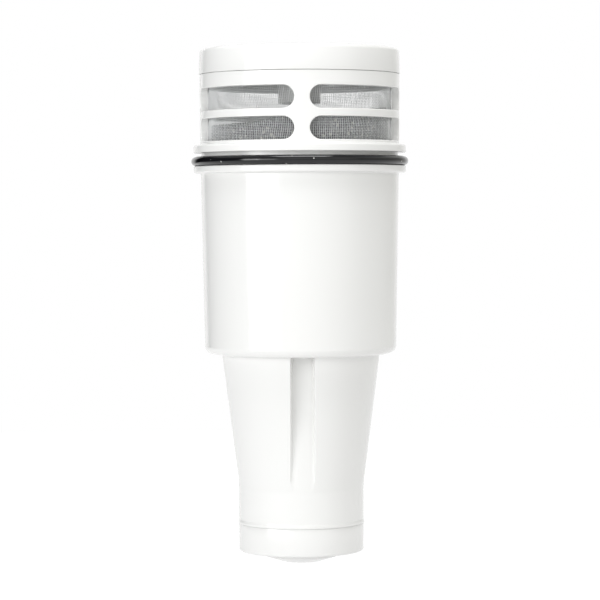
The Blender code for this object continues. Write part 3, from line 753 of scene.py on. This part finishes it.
def speck_group(name):
    """Small round specks, such as dust or pale grains among dark ones."""
    inputs = (("Scale", 900.0), ("Share", 0.1), ("Size", 1.0))
    group, given, out = new_group(name, inputs, ("Mask", "Shade"))
    place = add_node(group, "ShaderNodeTexCoord").outputs["Object"]
    values = {"Vector": place, "Scale": given["Scale"]}
    cells = add_node(group, "ShaderNodeTexVoronoi", {"feature": "F1"}, values).outputs
    channel = add_node(group, "ShaderNodeSeparateColor", None, {"Color": cells["Color"]}).outputs
    chosen = maths(group, "LESS_THAN", channel["Red"], given["Share"])
    near = maths(group, "LESS_THAN", cells["Distance"], given["Size"])
    group.links.new(maths(group, "MULTIPLY", chosen, near), out["Mask"])
    group.links.new(channel["Green"], out["Shade"])
    return group


def fibrous_group(name):
    """Matted or drawn fibres, as streaks along Z or in all directions."""
    group, given, out = new_group(name, (("Scale", 2500.0), ("Stretch", 1.0)), ("Tone", "Height"))
    place = add_node(group, "ShaderNodeTexCoord").outputs["Object"]
    parts = add_node(group, "ShaderNodeSeparateXYZ", None, {"Vector": place}).outputs
    squeezed = maths(group, "DIVIDE", parts["Z"], given["Stretch"])
    values = {"X": parts["X"], "Y": parts["Y"], "Z": squeezed}
    joined = add_node(group, "ShaderNodeCombineXYZ", None, values).outputs[0]
    fine = noise(group, joined, given["Scale"], 4.0, 0.7)
    coarse = noise(group, joined, 300.0, 2.0)
    group.links.new(coarse, out["Tone"])
    group.links.new(maths(group, "ADD", fine, coarse), out["Height"])
    return group


def new_material(name):
    """An empty node material with its Principled shader."""
    material = bpy.data.materials.new(name)
    material.use_nodes = True
    return material, material.node_tree, material.node_tree.nodes["Principled BSDF"]


def surface_group(tree, name, maker, values):
    """A group, built once, placed in a material with its own values."""
    group = bpy.data.node_groups.get(name) or maker(name)
    return add_node(tree, "ShaderNodeGroup", {"node_tree": group}, values).outputs


def moulded_surface(tree, finish):
    """The finish of moulded plastic, resin or rubber, with its values in the order of MOULDED_INPUTS."""
    return surface_group(tree, "moulded_finish", moulded_finish_group, dict(zip(MOULDED_INPUTS, finish)))


def speckled_surface(tree, values):
    """Dust or pale grains."""
    return surface_group(tree, "specks", speck_group, values)


def fibrous_surface(tree, scale, stretch):
    """Matted or drawn fibres of a scale."""
    return surface_group(tree, "fibrous", fibrous_group, {"Scale": scale, "Stretch": stretch})


def tint(tree, tone, colour, other, low=0.3, high=0.7):
    """A colour that drifts to another as tone goes from low to high."""
    return blend(tree, spread(tree, tone, low, high), colour, other)


def bump(tree, height, distance):
    """A bump's normal, with its height in metres."""
    values = {"Height": height, "Distance": distance, "Strength": 1.0}
    return add_node(tree, "ShaderNodeBump", None, values).outputs["Normal"]


def feed(tree, shader, colour, roughness, normal):
    """Links a surface's colour, roughness and normal to its shader."""
    for label, value in (("Base Color", colour), ("Roughness", roughness), ("Normal", normal)):
        tree.links.new(value, shader.inputs[label])


def scaled(colour, factor):
    """A colour made lighter or darker."""
    return tuple(min(1.0, part * factor) for part in colour)


def moulded_material(name, colour, finish, depth, drift=0.97):
    """Moulded plastic or resin in one colour with a faint drift."""
    material, tree, shader = new_material(name)
    surface = moulded_surface(tree, finish)
    tone = tint(tree, surface["Tone"], colour, scaled(colour, drift))
    feed(tree, shader, tone, surface["Roughness"], bump(tree, surface["Height"], depth))
    return material


def white_plastic(colours):
    """Glossy white moulded plastic."""
    finish = (45.0, 5000.0, 0.004, 0.10, 0.16)
    material = moulded_material("white_plastic_finish", colours.plastic, finish, 0.00012, 0.99)
    material.node_tree.nodes["Principled BSDF"].inputs["IOR"].default_value = 1.5
    return material


def satin_plastic(colours):
    """Natural plastic with a satin skin."""
    return moulded_material("natural_plastic_finish", colours.satin, (80.0, 2500.0, 0.4, 0.35, 0.5), 0.00001)


def black_rubber(colours):
    """Lightly greased black rubber with a few specks of dust."""
    material, tree, shader = new_material("black_rubber_finish")
    surface = moulded_surface(tree, (250.0, 3000.0, 0.3, 0.07, 0.12))
    dust = speckled_surface(tree, {"Scale": 700.0, "Share": 0.12, "Size": 0.14})["Mask"]
    clean = tint(tree, surface["Tone"], colours.rubber, scaled(colours.rubber, 1.6))
    dusty = blend(tree, dust, clean, DUST_COLOUR)
    gloss = largest(tree, surface["Roughness"], spread(tree, dust, 0.0, 1.0, 0.0, 0.8))
    feed(tree, shader, dusty, gloss, bump(tree, surface["Height"], 0.00002))
    shader.inputs["IOR"].default_value = 1.48
    return material


def screen_thread(colours):
    """Pale drawn thread that lets some light through."""
    material, tree, shader = new_material("screen_thread_finish")
    surface = fibrous_surface(tree, 9000.0, 1.0)
    colour = tint(tree, surface["Tone"], colours.thread, scaled(colours.thread, 0.94))
    normal = bump(tree, surface["Height"], 0.000004)
    feed(tree, shader, colour, spread(tree, surface["Tone"], 0.3, 0.7, 0.3, 0.45), normal)
    through = add_node(tree, "ShaderNodeBsdfTranslucent", None, {"Color": colour, "Normal": normal})
    values = {0: THROUGH_SHARE, 1: shader.outputs[0], 2: through.outputs[0]}
    mix = add_node(tree, "ShaderNodeMixShader", None, values)
    output = next(node for node in tree.nodes if node.type == "OUTPUT_MATERIAL")
    tree.links.new(mix.outputs[0], output.inputs["Surface"])
    return material


def carbon_grains(colours):
    """Dark grains with a few pale ones."""
    material, tree, shader = new_material("carbon_grain_finish")
    specks = speckled_surface(tree, {"Scale": 1600.0, "Share": 0.05})
    dark = tint(tree, specks["Shade"], colours.carbon, scaled(colours.carbon, 3.0), 0.0, 1.0)
    colour = blend(tree, specks["Mask"], dark, colours.resin_bead)
    surface = fibrous_surface(tree, 4000.0, 1.0)
    gloss = spread(tree, specks["Shade"], 0.0, 1.0, 0.45, 0.9)
    feed(tree, shader, colour, gloss, bump(tree, surface["Height"], 0.00004))
    return material


def fibrous_material(name, colour, scale, stretch, depth):
    """Felt or hollow fibre."""
    material, tree, shader = new_material(name)
    surface = fibrous_surface(tree, scale, stretch)
    tone = tint(tree, surface["Tone"], colour, scaled(colour, 0.88))
    gloss = spread(tree, surface["Tone"], 0.3, 0.7, 0.75, 0.95)
    feed(tree, shader, tone, gloss, bump(tree, surface["Height"], depth))
    return material


def cast_resin(colours):
    """Cast amber resin, glossy with a faint wave."""
    finish = (150.0, 1500.0, 0.05, 0.2, 0.35)
    return moulded_material("cast_resin_finish", colours.resin, finish, 0.00003, 0.85)


def shared_material(name, maker, colours):
    """A finish that is made once and used by every piece that has it."""
    return bpy.data.materials.get(name) or maker(colours)


# Operators


class CARTRIDGE_OT_camera(bpy.types.Operator):
    """Place the camera where the photograph was taken from"""

    bl_idname = "cartridge.camera"
    bl_label = "Camera"

    def execute(self, context):
        studio = context.scene.cartridge_studio
        pan, pitch, roll = studio.pan, studio.pitch, studio.roll
        ahead = Vector((math.sin(pan) * math.cos(pitch), math.cos(pan) * math.cos(pitch), -math.sin(pitch)))
        level_right = Vector((math.cos(pan), -math.sin(pan), 0.0))
        level_up = level_right.cross(ahead)
        right = level_right * math.cos(roll) + level_up * math.sin(roll)
        up = level_up * math.cos(roll) - level_right * math.sin(roll)
        turn = Matrix((right, up, -ahead)).transposed().to_4x4()
        place = Matrix.Translation((studio.side, -studio.distance, studio.height))
        camera = bpy.data.cameras.new("camera")
        camera.lens = studio.lens
        camera.sensor_width = SENSOR_WIDTH
        camera.clip_start = 0.01
        camera.clip_end = 20.0
        item = linked("camera", camera)
        item.matrix_world = Matrix.Rotation(studio.around, 4, "Z") @ place @ turn
        context.scene.camera = item
        return {"FINISHED"}


class CARTRIDGE_OT_stage(bpy.types.Operator):
    """Lay the floor, light the room and hang the softboxes"""

    bl_idname = "cartridge.stage"
    bl_label = "Stage"

    def execute(self, context):
        studio = context.scene.cartridge_studio
        context.scene.view_settings.view_transform = "Standard"
        lay_floor(studio.floor_size)
        light_room(context.scene, studio.surround)
        key = studio.key_power
        hang_softbox("key", key, azimuth=-53.6, elevation=0.0, width=0.29, height=0.55)
        hang_softbox("key_spill", SPILL_SHARE * key, azimuth=-37.0, elevation=0.0, width=0.36, height=0.55)
        hang_softbox("overhead", studio.top_power, azimuth=4.0, elevation=75.0, width=0.6, height=0.45)
        return {"FINISHED"}


def lay_floor(size):
    """A floor that is seen white, lights the cartridge a little less, and keeps a soft shadow."""
    half = size / 2
    corners = [(-half, -half, 0), (half, -half, 0), (half, half, 0), (-half, half, 0)]
    floor = linked("floor", mesh_of("floor", corners, [(0, 1, 2, 3)]))
    material, tree, shader = new_material("floor_finish")
    shader.inputs["Base Color"].default_value = (*FLOOR_COLOUR, 1.0)
    shader.inputs["Roughness"].default_value = 0.9
    shader.inputs["Specular IOR Level"].default_value = 0.0
    shader.inputs["Emission Color"].default_value = (*WHITE, 1.0)
    path = add_node(tree, "ShaderNodeLightPath").outputs
    seen = largest(tree, path["Is Camera Ray"], path["Is Glossy Ray"], path["Is Transmission Ray"])
    glow = spread(tree, seen, 0.0, 1.0, FLOOR_GLOW, FLOOR_GLOW_SEEN)
    tree.links.new(glow, shader.inputs["Emission Strength"])
    floor.data.materials.append(material)


# How bright the room is round the cartridge, as (degrees from the camera's line, red, green, blue):
# its wall, the bank above the wall, and what lies under the wall
WALL_LIGHT = (
    (-180, 0.31, 0.31, 0.31),
    (-151, 0.31, 0.31, 0.31),
    (-147, 0.0, 0.0, 0.0),
    (-67, 0.0, 0.0, 0.0),
    (-65, 0.98, 1.0, 1.0),
    (-44, 0.98, 1.0, 1.0),
    (-40, 0.55, 0.56, 0.56),
    (-22, 0.55, 0.56, 0.56),
    (-6, 0.44, 0.44, 0.435),
    (20, 0.34, 0.34, 0.33),
    (56, 0.32, 0.32, 0.305),
    (64, 0.18, 0.18, 0.17),
    (135, 0.185, 0.185, 0.175),
    (140, 0.27, 0.27, 0.26),
    (180, 0.31, 0.31, 0.31),
)
UPPER_LIGHT = (
    (-180, 0.10, 0.10, 0.10),
    (-165, 0.0, 0.0, 0.0),
    (-24, 0.0, 0.0, 0.0),
    (-8, 0.55, 0.55, 0.545),
    (52, 0.46, 0.46, 0.445),
    (68, 0.35, 0.35, 0.335),
    (165, 0.34, 0.34, 0.325),
    (180, 0.10, 0.10, 0.10),
)
LOWER_LIGHT = (
    (-180, 0.12, 0.12, 0.12),
    (-165, 0.0, 0.0, 0.0),
    (-75, 0.0, 0.0, 0.0),
    (-58, 0.145, 0.15, 0.15),
    (-20, 0.20, 0.20, 0.20),
    (-8, 0.28, 0.28, 0.275),
    (60, 0.25, 0.25, 0.24),
    (100, 0.32, 0.32, 0.305),
    (165, 0.31, 0.31, 0.295),
    (180, 0.12, 0.12, 0.12),
)


def ramp_round(tree, share, stops):
    """A colour ramp round the cartridge, from its stops."""
    ramp = add_node(tree, "ShaderNodeValToRGB", None, {"Fac": share})
    elements = ramp.color_ramp.elements
    elements.remove(elements[-1])
    for index, (degrees, *colour) in enumerate(stops):
        spot = (degrees + 180) / 360
        element = elements[0] if index == 0 else elements.new(spot)
        element.position = spot
        element.color = (*colour, 1.0)
    return ramp.outputs["Color"]


def light_room(scene, strength):
    """A studio room: a white backdrop, a dark side on the left and pale walls in front and on the right."""
    world = bpy.data.worlds.new("studio_room")
    scene.world = world
    world.use_nodes = True
    tree = world.node_tree
    tree.nodes.clear()
    place = add_node(tree, "ShaderNodeTexCoord").outputs["Generated"]
    parts = add_node(tree, "ShaderNodeSeparateXYZ", None, {"Vector": place}).outputs
    angle = maths(tree, "ARCTAN2", parts["X"], maths(tree, "MULTIPLY", parts["Y"], -1.0))
    share = spread(tree, angle, -math.pi, math.pi)
    lower = ramp_round(tree, share, LOWER_LIGHT)
    wall = ramp_round(tree, share, WALL_LIGHT)
    upper = ramp_round(tree, share, UPPER_LIGHT)
    colour = blend(tree, spread(tree, parts["Z"], *ABOVE_FLOOR), lower, wall)
    colour = blend(tree, spread(tree, parts["Z"], *ABOVE_WALL), colour, upper)
    colour = blend(tree, spread(tree, parts["Z"], *ABOVE_BANK), colour, ZENITH_LIGHT)
    room = add_node(tree, "ShaderNodeBackground", None, {"Color": colour, "Strength": strength})
    white = add_node(tree, "ShaderNodeBackground", None, {"Color": (*WHITE, 1.0), "Strength": 1.0})
    path = add_node(tree, "ShaderNodeLightPath").outputs
    mirrored = largest(tree, path["Is Glossy Ray"], path["Is Transmission Ray"])
    backdrop = maths(tree, "MULTIPLY", mirrored, spread(tree, parts["Y"], *BEHIND_CARTRIDGE))
    shown = largest(tree, path["Is Camera Ray"], backdrop)
    mix = add_node(tree, "ShaderNodeMixShader", None, {0: shown, 1: room.outputs[0], 2: white.outputs[0]})
    output = tree.nodes.new("ShaderNodeOutputWorld")
    tree.links.new(mix.outputs[0], output.inputs["Surface"])


def hang_softbox(name, power, azimuth, elevation, width, height):
    """A softbox around the cartridge, at degrees from the camera's line and up from the level."""
    azimuth, elevation = math.radians(azimuth), math.radians(elevation)
    light = bpy.data.lights.new(name, "AREA")
    light.shape = "RECTANGLE"
    light.size = width
    light.size_y = height
    light.energy = power
    item = linked(name, light)
    around = Vector((math.sin(azimuth), -math.cos(azimuth), 0)) * math.cos(elevation)
    item.location = SOFTBOX_AIM + (around + Vector((0, 0, math.sin(elevation)))) * SOFTBOX_DISTANCE
    item.rotation_euler = (SOFTBOX_AIM - item.location).to_track_quat("-Z", "Y").to_euler()
    item.visible_camera = False


class CARTRIDGE_OT_housing(bpy.types.Operator):
    """Build the housing with its windows and flutes"""

    bl_idname = "cartridge.housing"
    bl_label = "Housing"

    def execute(self, context):
        sizes = context.scene.cartridge_sizes
        colours = context.scene.cartridge_colours
        outline = housing_outline(sizes.arc_error)
        item = linked("housing_shell", turned_mesh("housing_shell", outline, sizes.shell_steps))
        shape_with(item, [flute_block("flute_block")], FLUTES, "UNION")
        shape_with(item, [flute_cutter("flute", sizes.flute_edge)], FLUTES, "DIFFERENCE")
        windows = [
            window_cutter("lower_window", LOWER_WINDOW_BASE, sizes.window_edge, sizes.shell_steps),
            window_cutter("upper_window", UPPER_WINDOW_BASE, sizes.window_edge, sizes.shell_steps),
        ]
        shape_with(item, windows, WINDOWS_AROUND, "DIFFERENCE")
        plastic = shared_material("white_plastic_finish", white_plastic, colours)
        finish_piece(item, plastic, "white_plastic", "housing")
        keep_normals_even(item)
        return {"FINISHED"}


class CARTRIDGE_OT_caps(bpy.types.Operator):
    """Build the top cap and the foot cap"""

    bl_idname = "cartridge.caps"
    bl_label = "Caps"

    def execute(self, context):
        sizes = context.scene.cartridge_sizes
        plastic = shared_material("white_plastic_finish", white_plastic, context.scene.cartridge_colours)
        for name, outline, node in (
            ("top_cap_shell", top_cap_outline(sizes.arc_error), "top_cap"),
            ("foot_cap_shell", foot_cap_outline(sizes.arc_error), "bottom_cap"),
        ):
            item = linked(name, turned_mesh(name, outline, sizes.shell_steps))
            finish_piece(item, plastic, "white_plastic", node)
        return {"FINISHED"}


class CARTRIDGE_OT_ring(bpy.types.Operator):
    """Build the black ring seal"""

    bl_idname = "cartridge.ring"
    bl_label = "Ring Seal"

    def execute(self, context):
        sizes = context.scene.cartridge_sizes
        half = RING_CORD / 2
        outline = []
        for step in range(RING_CORD_STEPS):
            angle = TURN * step / RING_CORD_STEPS
            across = RING_RADIUS - half + half * math.cos(angle)
            outline.append(Vector((across, RING_LOW.z + half + half * math.sin(angle))))
        item = linked("ring_seal", turned_mesh("ring_seal", outline, sizes.shell_steps))
        rubber = shared_material("black_rubber_finish", black_rubber, context.scene.cartridge_colours)
        finish_piece(item, rubber, "black_rubber", "o_ring")
        return {"FINISHED"}


class CARTRIDGE_OT_screen(bpy.types.Operator):
    """Weave the screen, over and under, with a hem at each edge"""

    bl_idname = "cartridge.screen"
    bl_label = "Woven Screen"

    def execute(self, context):
        sizes = context.scene.cartridge_sizes
        across = 2 * round(math.pi * SCREEN_RADIUS / sizes.thread_pitch)
        low, high = SCREEN_LOW.z, SCREEN_HIGH.z
        rows = round((high - low) / (HOOP_SHARE * sizes.thread_pitch))
        upright_radius = UPRIGHT_THICKNESS * sizes.thread / 2
        hoop_radius = HOOP_THICKNESS * sizes.thread / 2
        verts = []
        faces = []
        levels = [low + (high - low) * (row + 0.5) / (rows + 1) for row in range(rows + 1)]
        for column in range(across):
            radius = self.reeded(upright_radius, column, REED_UPRIGHTS)
            self.upright(verts, faces, column, across, levels, radius)
        for row, level in enumerate(levels):
            self.hoop(verts, faces, row, across, level, self.reeded(hoop_radius, row, REED_HOOPS))
        half_hem = sizes.hem / 2
        for level in (low + half_hem, high - half_hem):
            ring_mesh_data(verts, faces, SCREEN_RADIUS, level, HEM_HALF_DEPTH, half_hem, HEM_STEPS)
        item = linked("woven_screen", mesh_of("woven_screen", verts, faces))
        thread = shared_material("screen_thread_finish", screen_thread, context.scene.cartridge_colours)
        finish_piece(item, thread, "woven_mesh", "mesh_screen")
        return {"FINISHED"}

    @staticmethod
    def reeded(radius, index, period):
        """The radius of a thread in cloth whose threads vary in thickness from one to the next."""
        return radius * (1 + REED_SHARE * math.cos(TURN * index / period))

    @staticmethod
    def upright(verts, faces, column, across, levels, radius):
        """One upright thread, which passes before and behind the hoops."""
        first = len(verts)
        for row, level in enumerate(levels):
            angle = thread_angle(column, across, level)
            out = Vector((math.cos(angle), math.sin(angle), 0.0))
            side = Vector((-math.sin(angle), math.cos(angle), 0.0))
            sway = radius if (row + column) % 2 == 0 else -radius
            middle = out * (SCREEN_RADIUS + sway) + Vector((0.0, 0.0, level))
            for turn in THREAD_TURNS:
                verts.append(tuple(middle + (out * math.cos(turn) + side * math.sin(turn)) * radius))
        for row in range(len(levels) - 1):
            near = first + THREAD_SIDES * row
            far = near + THREAD_SIDES
            for face in range(THREAD_SIDES):
                after = (face + 1) % THREAD_SIDES
                faces.append((near + face, near + after, far + after, far + face))
        last = first + THREAD_SIDES * (len(levels) - 1)
        faces.append(tuple(first + face for face in reversed(range(THREAD_SIDES))))
        faces.append(tuple(last + face for face in range(THREAD_SIDES)))

    @staticmethod
    def hoop(verts, faces, row, across, level, radius):
        """One hoop, which passes the other way at each upright thread."""
        first = len(verts)
        section = [(radius * math.cos(turn), radius * math.sin(turn)) for turn in THREAD_TURNS]
        for column in range(across):
            angle = thread_angle(column, across, level)
            sway = -radius if (row + column) % 2 == 0 else radius
            for out, up in section:
                verts.append(on_circle(SCREEN_RADIUS + sway + out, angle, level + up))
        for column in range(across):
            near = first + THREAD_SIDES * column
            far = first + THREAD_SIDES * ((column + 1) % across)
            for face in range(THREAD_SIDES):
                after = (face + 1) % THREAD_SIDES
                faces.append((near + face, far + face, far + after, near + after))


class CARTRIDGE_OT_bed(bpy.types.Operator):
    """Pour the bed: a core with loose grains on its side and top"""

    bl_idname = "cartridge.bed"
    bl_label = "Granular Bed"

    def execute(self, context):
        sizes = context.scene.cartridge_sizes
        chance = random.Random(GRAIN_SEED)
        size = sizes.grain
        top_radius = BED_HIGH.x - size / 2
        verts, faces = self.core(BODY_FOOT_BORE - CLEARANCE, top_radius, size / 2)
        lump = self.lump()
        for height, angle in self.side_spots(top_radius, size, chance):
            if height < bed_height(1.0, angle) - size / 3:
                reach = top_radius - chance.uniform(0, size / 3)
                self.grain(verts, faces, lump, on_circle(reach, angle, height), size, chance)
        for share, angle in self.top_spots(top_radius, size, chance):
            height = bed_height(share, angle) - size / 2 + chance.uniform(-0.2, 0.1) * size
            self.grain(verts, faces, lump, on_circle(share * top_radius, angle, height), size, chance)
        item = linked("granular_bed", mesh_of("granular_bed", verts, faces))
        grains = shared_material("carbon_grain_finish", carbon_grains, context.scene.cartridge_colours)
        finish_piece(item, grains, "carbon_grains", "filter_media")
        return {"FINISHED"}

    @staticmethod
    def side_spots(top_radius, size, chance):
        """Where grains may lie on the bed's side, as (height, angle), from below the windows up."""
        low = LOWER_WINDOW_BASE - 2 * size
        rise = GRAIN_ROW * size
        around = int(TURN * top_radius / (GRAIN_SPACING * size))
        row = 0
        while low + row * rise < BED_LEVEL + BED_HEAP:
            for column in range(around):
                angle = TURN * (column + row % 2 / 2 + chance.uniform(-GRAIN_JITTER, GRAIN_JITTER)) / around
                yield low + (row + chance.uniform(-GRAIN_JITTER, GRAIN_JITTER)) * rise, angle
            row += 1

    @staticmethod
    def top_spots(top_radius, size, chance):
        """Where grains lie on the bed's top, as (share of its radius, angle), from the middle out."""
        rings = int(top_radius / (GRAIN_SPACING * size))
        for ring in range(rings):
            share = (ring + 0.5) / rings
            around = max(1, int(TURN * share * top_radius / (TOP_GRAIN_SPACING * size)))
            for column in range(around):
                yield share, TURN * (column + chance.uniform(-GRAIN_JITTER, GRAIN_JITTER)) / around

    @staticmethod
    def core(foot_radius, top_radius, sink):
        """The bed's solid core, a little under its grains."""
        steps = CORE_STEPS
        angles = [TURN * step / steps for step in range(steps)]
        verts = [(0.0, 0.0, bed_height(0.0, 0.0) - sink)]
        for ring in range(1, CORE_RINGS + 1):
            share = ring / CORE_RINGS
            reach = share * top_radius
            verts += [on_circle(reach, angle, bed_height(share, angle) - sink) for angle in angles]
        verts += [on_circle(foot_radius, angle, BED_LOW.z) for angle in angles]
        faces = []
        for step in range(steps):
            after = (step + 1) % steps
            faces.append((0, 1 + step, 1 + after))
            for ring in range(CORE_RINGS):
                near = 1 + ring * steps
                far = near + steps
                faces.append((near + step, far + step, far + after, near + after))
        last = 1 + CORE_RINGS * steps
        faces.append(tuple(last + step for step in reversed(range(steps))))
        return verts, faces

    @staticmethod
    def lump():
        """The verts and faces of a round lump with 20 faces."""
        shape = bmesh.new()
        bmesh.ops.create_icosphere(shape, subdivisions=1, radius=0.5)
        verts = [vert.co.copy() for vert in shape.verts]
        faces = [tuple(vert.index for vert in face.verts) for face in shape.faces]
        shape.free()
        return verts, faces

    @staticmethod
    def grain(verts, faces, lump, place, size, chance):
        """One grain: a lump with its own size, proportions, dents and turn."""
        lump_verts, lump_faces = lump
        first = len(verts)
        turn = Euler([chance.uniform(0, TURN) for _ in range(3)]).to_matrix()
        stretch = Vector([chance.uniform(0.7, 1.15) for _ in range(3)]) * size
        for vert in lump_verts:
            dent = chance.uniform(0.82, 1.08)
            verts.append(tuple(Vector(place) + turn @ (vert * dent * stretch)))
        faces.extend(tuple(first + index for index in face) for face in lump_faces)


class CARTRIDGE_OT_module(bpy.types.Operator):
    """Give the pieces inside the cartridge their finishes"""

    bl_idname = "cartridge.module"
    bl_label = "Inner Pieces"

    def execute(self, context):
        colours = context.scene.cartridge_colours
        felt = fibrous_material("felt_finish", colours.felt, 2500.0, 1.0, 0.0001)
        fibre = fibrous_material("hollow_fibre_finish", colours.fibre, 6000.0, 20.0, 0.00006)
        satin = satin_plastic(colours)
        finishes = {
            "separator_pad": felt,
            "support_grid": satin,
            "fibre_case": satin,
            "case_seal": shared_material("black_rubber_finish", black_rubber, colours),
            "potting_disc": cast_resin(colours),
        }
        for name, node in frame["nodes"].items():
            finish = fibre if name.startswith("fibre_loop") else finishes.get(name)
            if finish is not None:
                node.data.materials.clear()
                node.data.materials.append(finish)
        return {"FINISHED"}


class CARTRIDGE_PT_sidebar(bpy.types.Panel):
    """The cartridge's pieces and their sizes"""

    bl_idname = "CARTRIDGE_PT_sidebar"
    bl_label = "Filter Cartridge"
    bl_space_type = "VIEW_3D"
    bl_region_type = "UI"
    bl_category = "Cartridge"

    def draw(self, context):
        layout = self.layout
        for step in STEPS:
            layout.operator(step.bl_idname, text=step.bl_label)
        scene = context.scene
        for title, group in (
            ("Sizes", scene.cartridge_sizes),
            ("Colours", scene.cartridge_colours),
            ("Studio", scene.cartridge_studio),
        ):
            box = layout.box()
            box.label(text=title)
            for name in group.__annotations__:
                box.prop(group, name)


STEPS = (
    CARTRIDGE_OT_camera,
    CARTRIDGE_OT_stage,
    CARTRIDGE_OT_housing,
    CARTRIDGE_OT_caps,
    CARTRIDGE_OT_ring,
    CARTRIDGE_OT_screen,
    CARTRIDGE_OT_bed,
    CARTRIDGE_OT_module,
)
CLASSES = (CartridgeSizes, CartridgeColours, CartridgeStudio, *STEPS, CARTRIDGE_PT_sidebar)


def register():
    """Registers the classes and their settings on the scene."""
    for item in CLASSES:
        bpy.utils.register_class(item)
    bpy.types.Scene.cartridge_sizes = PointerProperty(type=CartridgeSizes)
    bpy.types.Scene.cartridge_colours = PointerProperty(type=CartridgeColours)
    bpy.types.Scene.cartridge_studio = PointerProperty(type=CartridgeStudio)


def unregister():
    """Takes the settings and the classes away again."""
    del bpy.types.Scene.cartridge_studio
    del bpy.types.Scene.cartridge_colours
    del bpy.types.Scene.cartridge_sizes
    for item in reversed(CLASSES):
        bpy.utils.unregister_class(item)


def clear_defaults():
    """Removes what the scene opens with, apart from the frame."""
    kept = set(frame["nodes"].values()) | set(frame["bodies"].values())
    for item in list(bpy.data.objects):
        if item not in kept:
            bpy.data.objects.remove(item, do_unlink=True)


def main():
    """Builds everything in order."""
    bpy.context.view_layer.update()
    clear_defaults()
    register()
    bpy.ops.cartridge.camera()
    bpy.ops.cartridge.stage()
    bpy.ops.cartridge.housing()
    bpy.ops.cartridge.caps()
    bpy.ops.cartridge.ring()
    bpy.ops.cartridge.screen()
    bpy.ops.cartridge.bed()
    bpy.ops.cartridge.module()


if __name__ == "__main__":
    main()
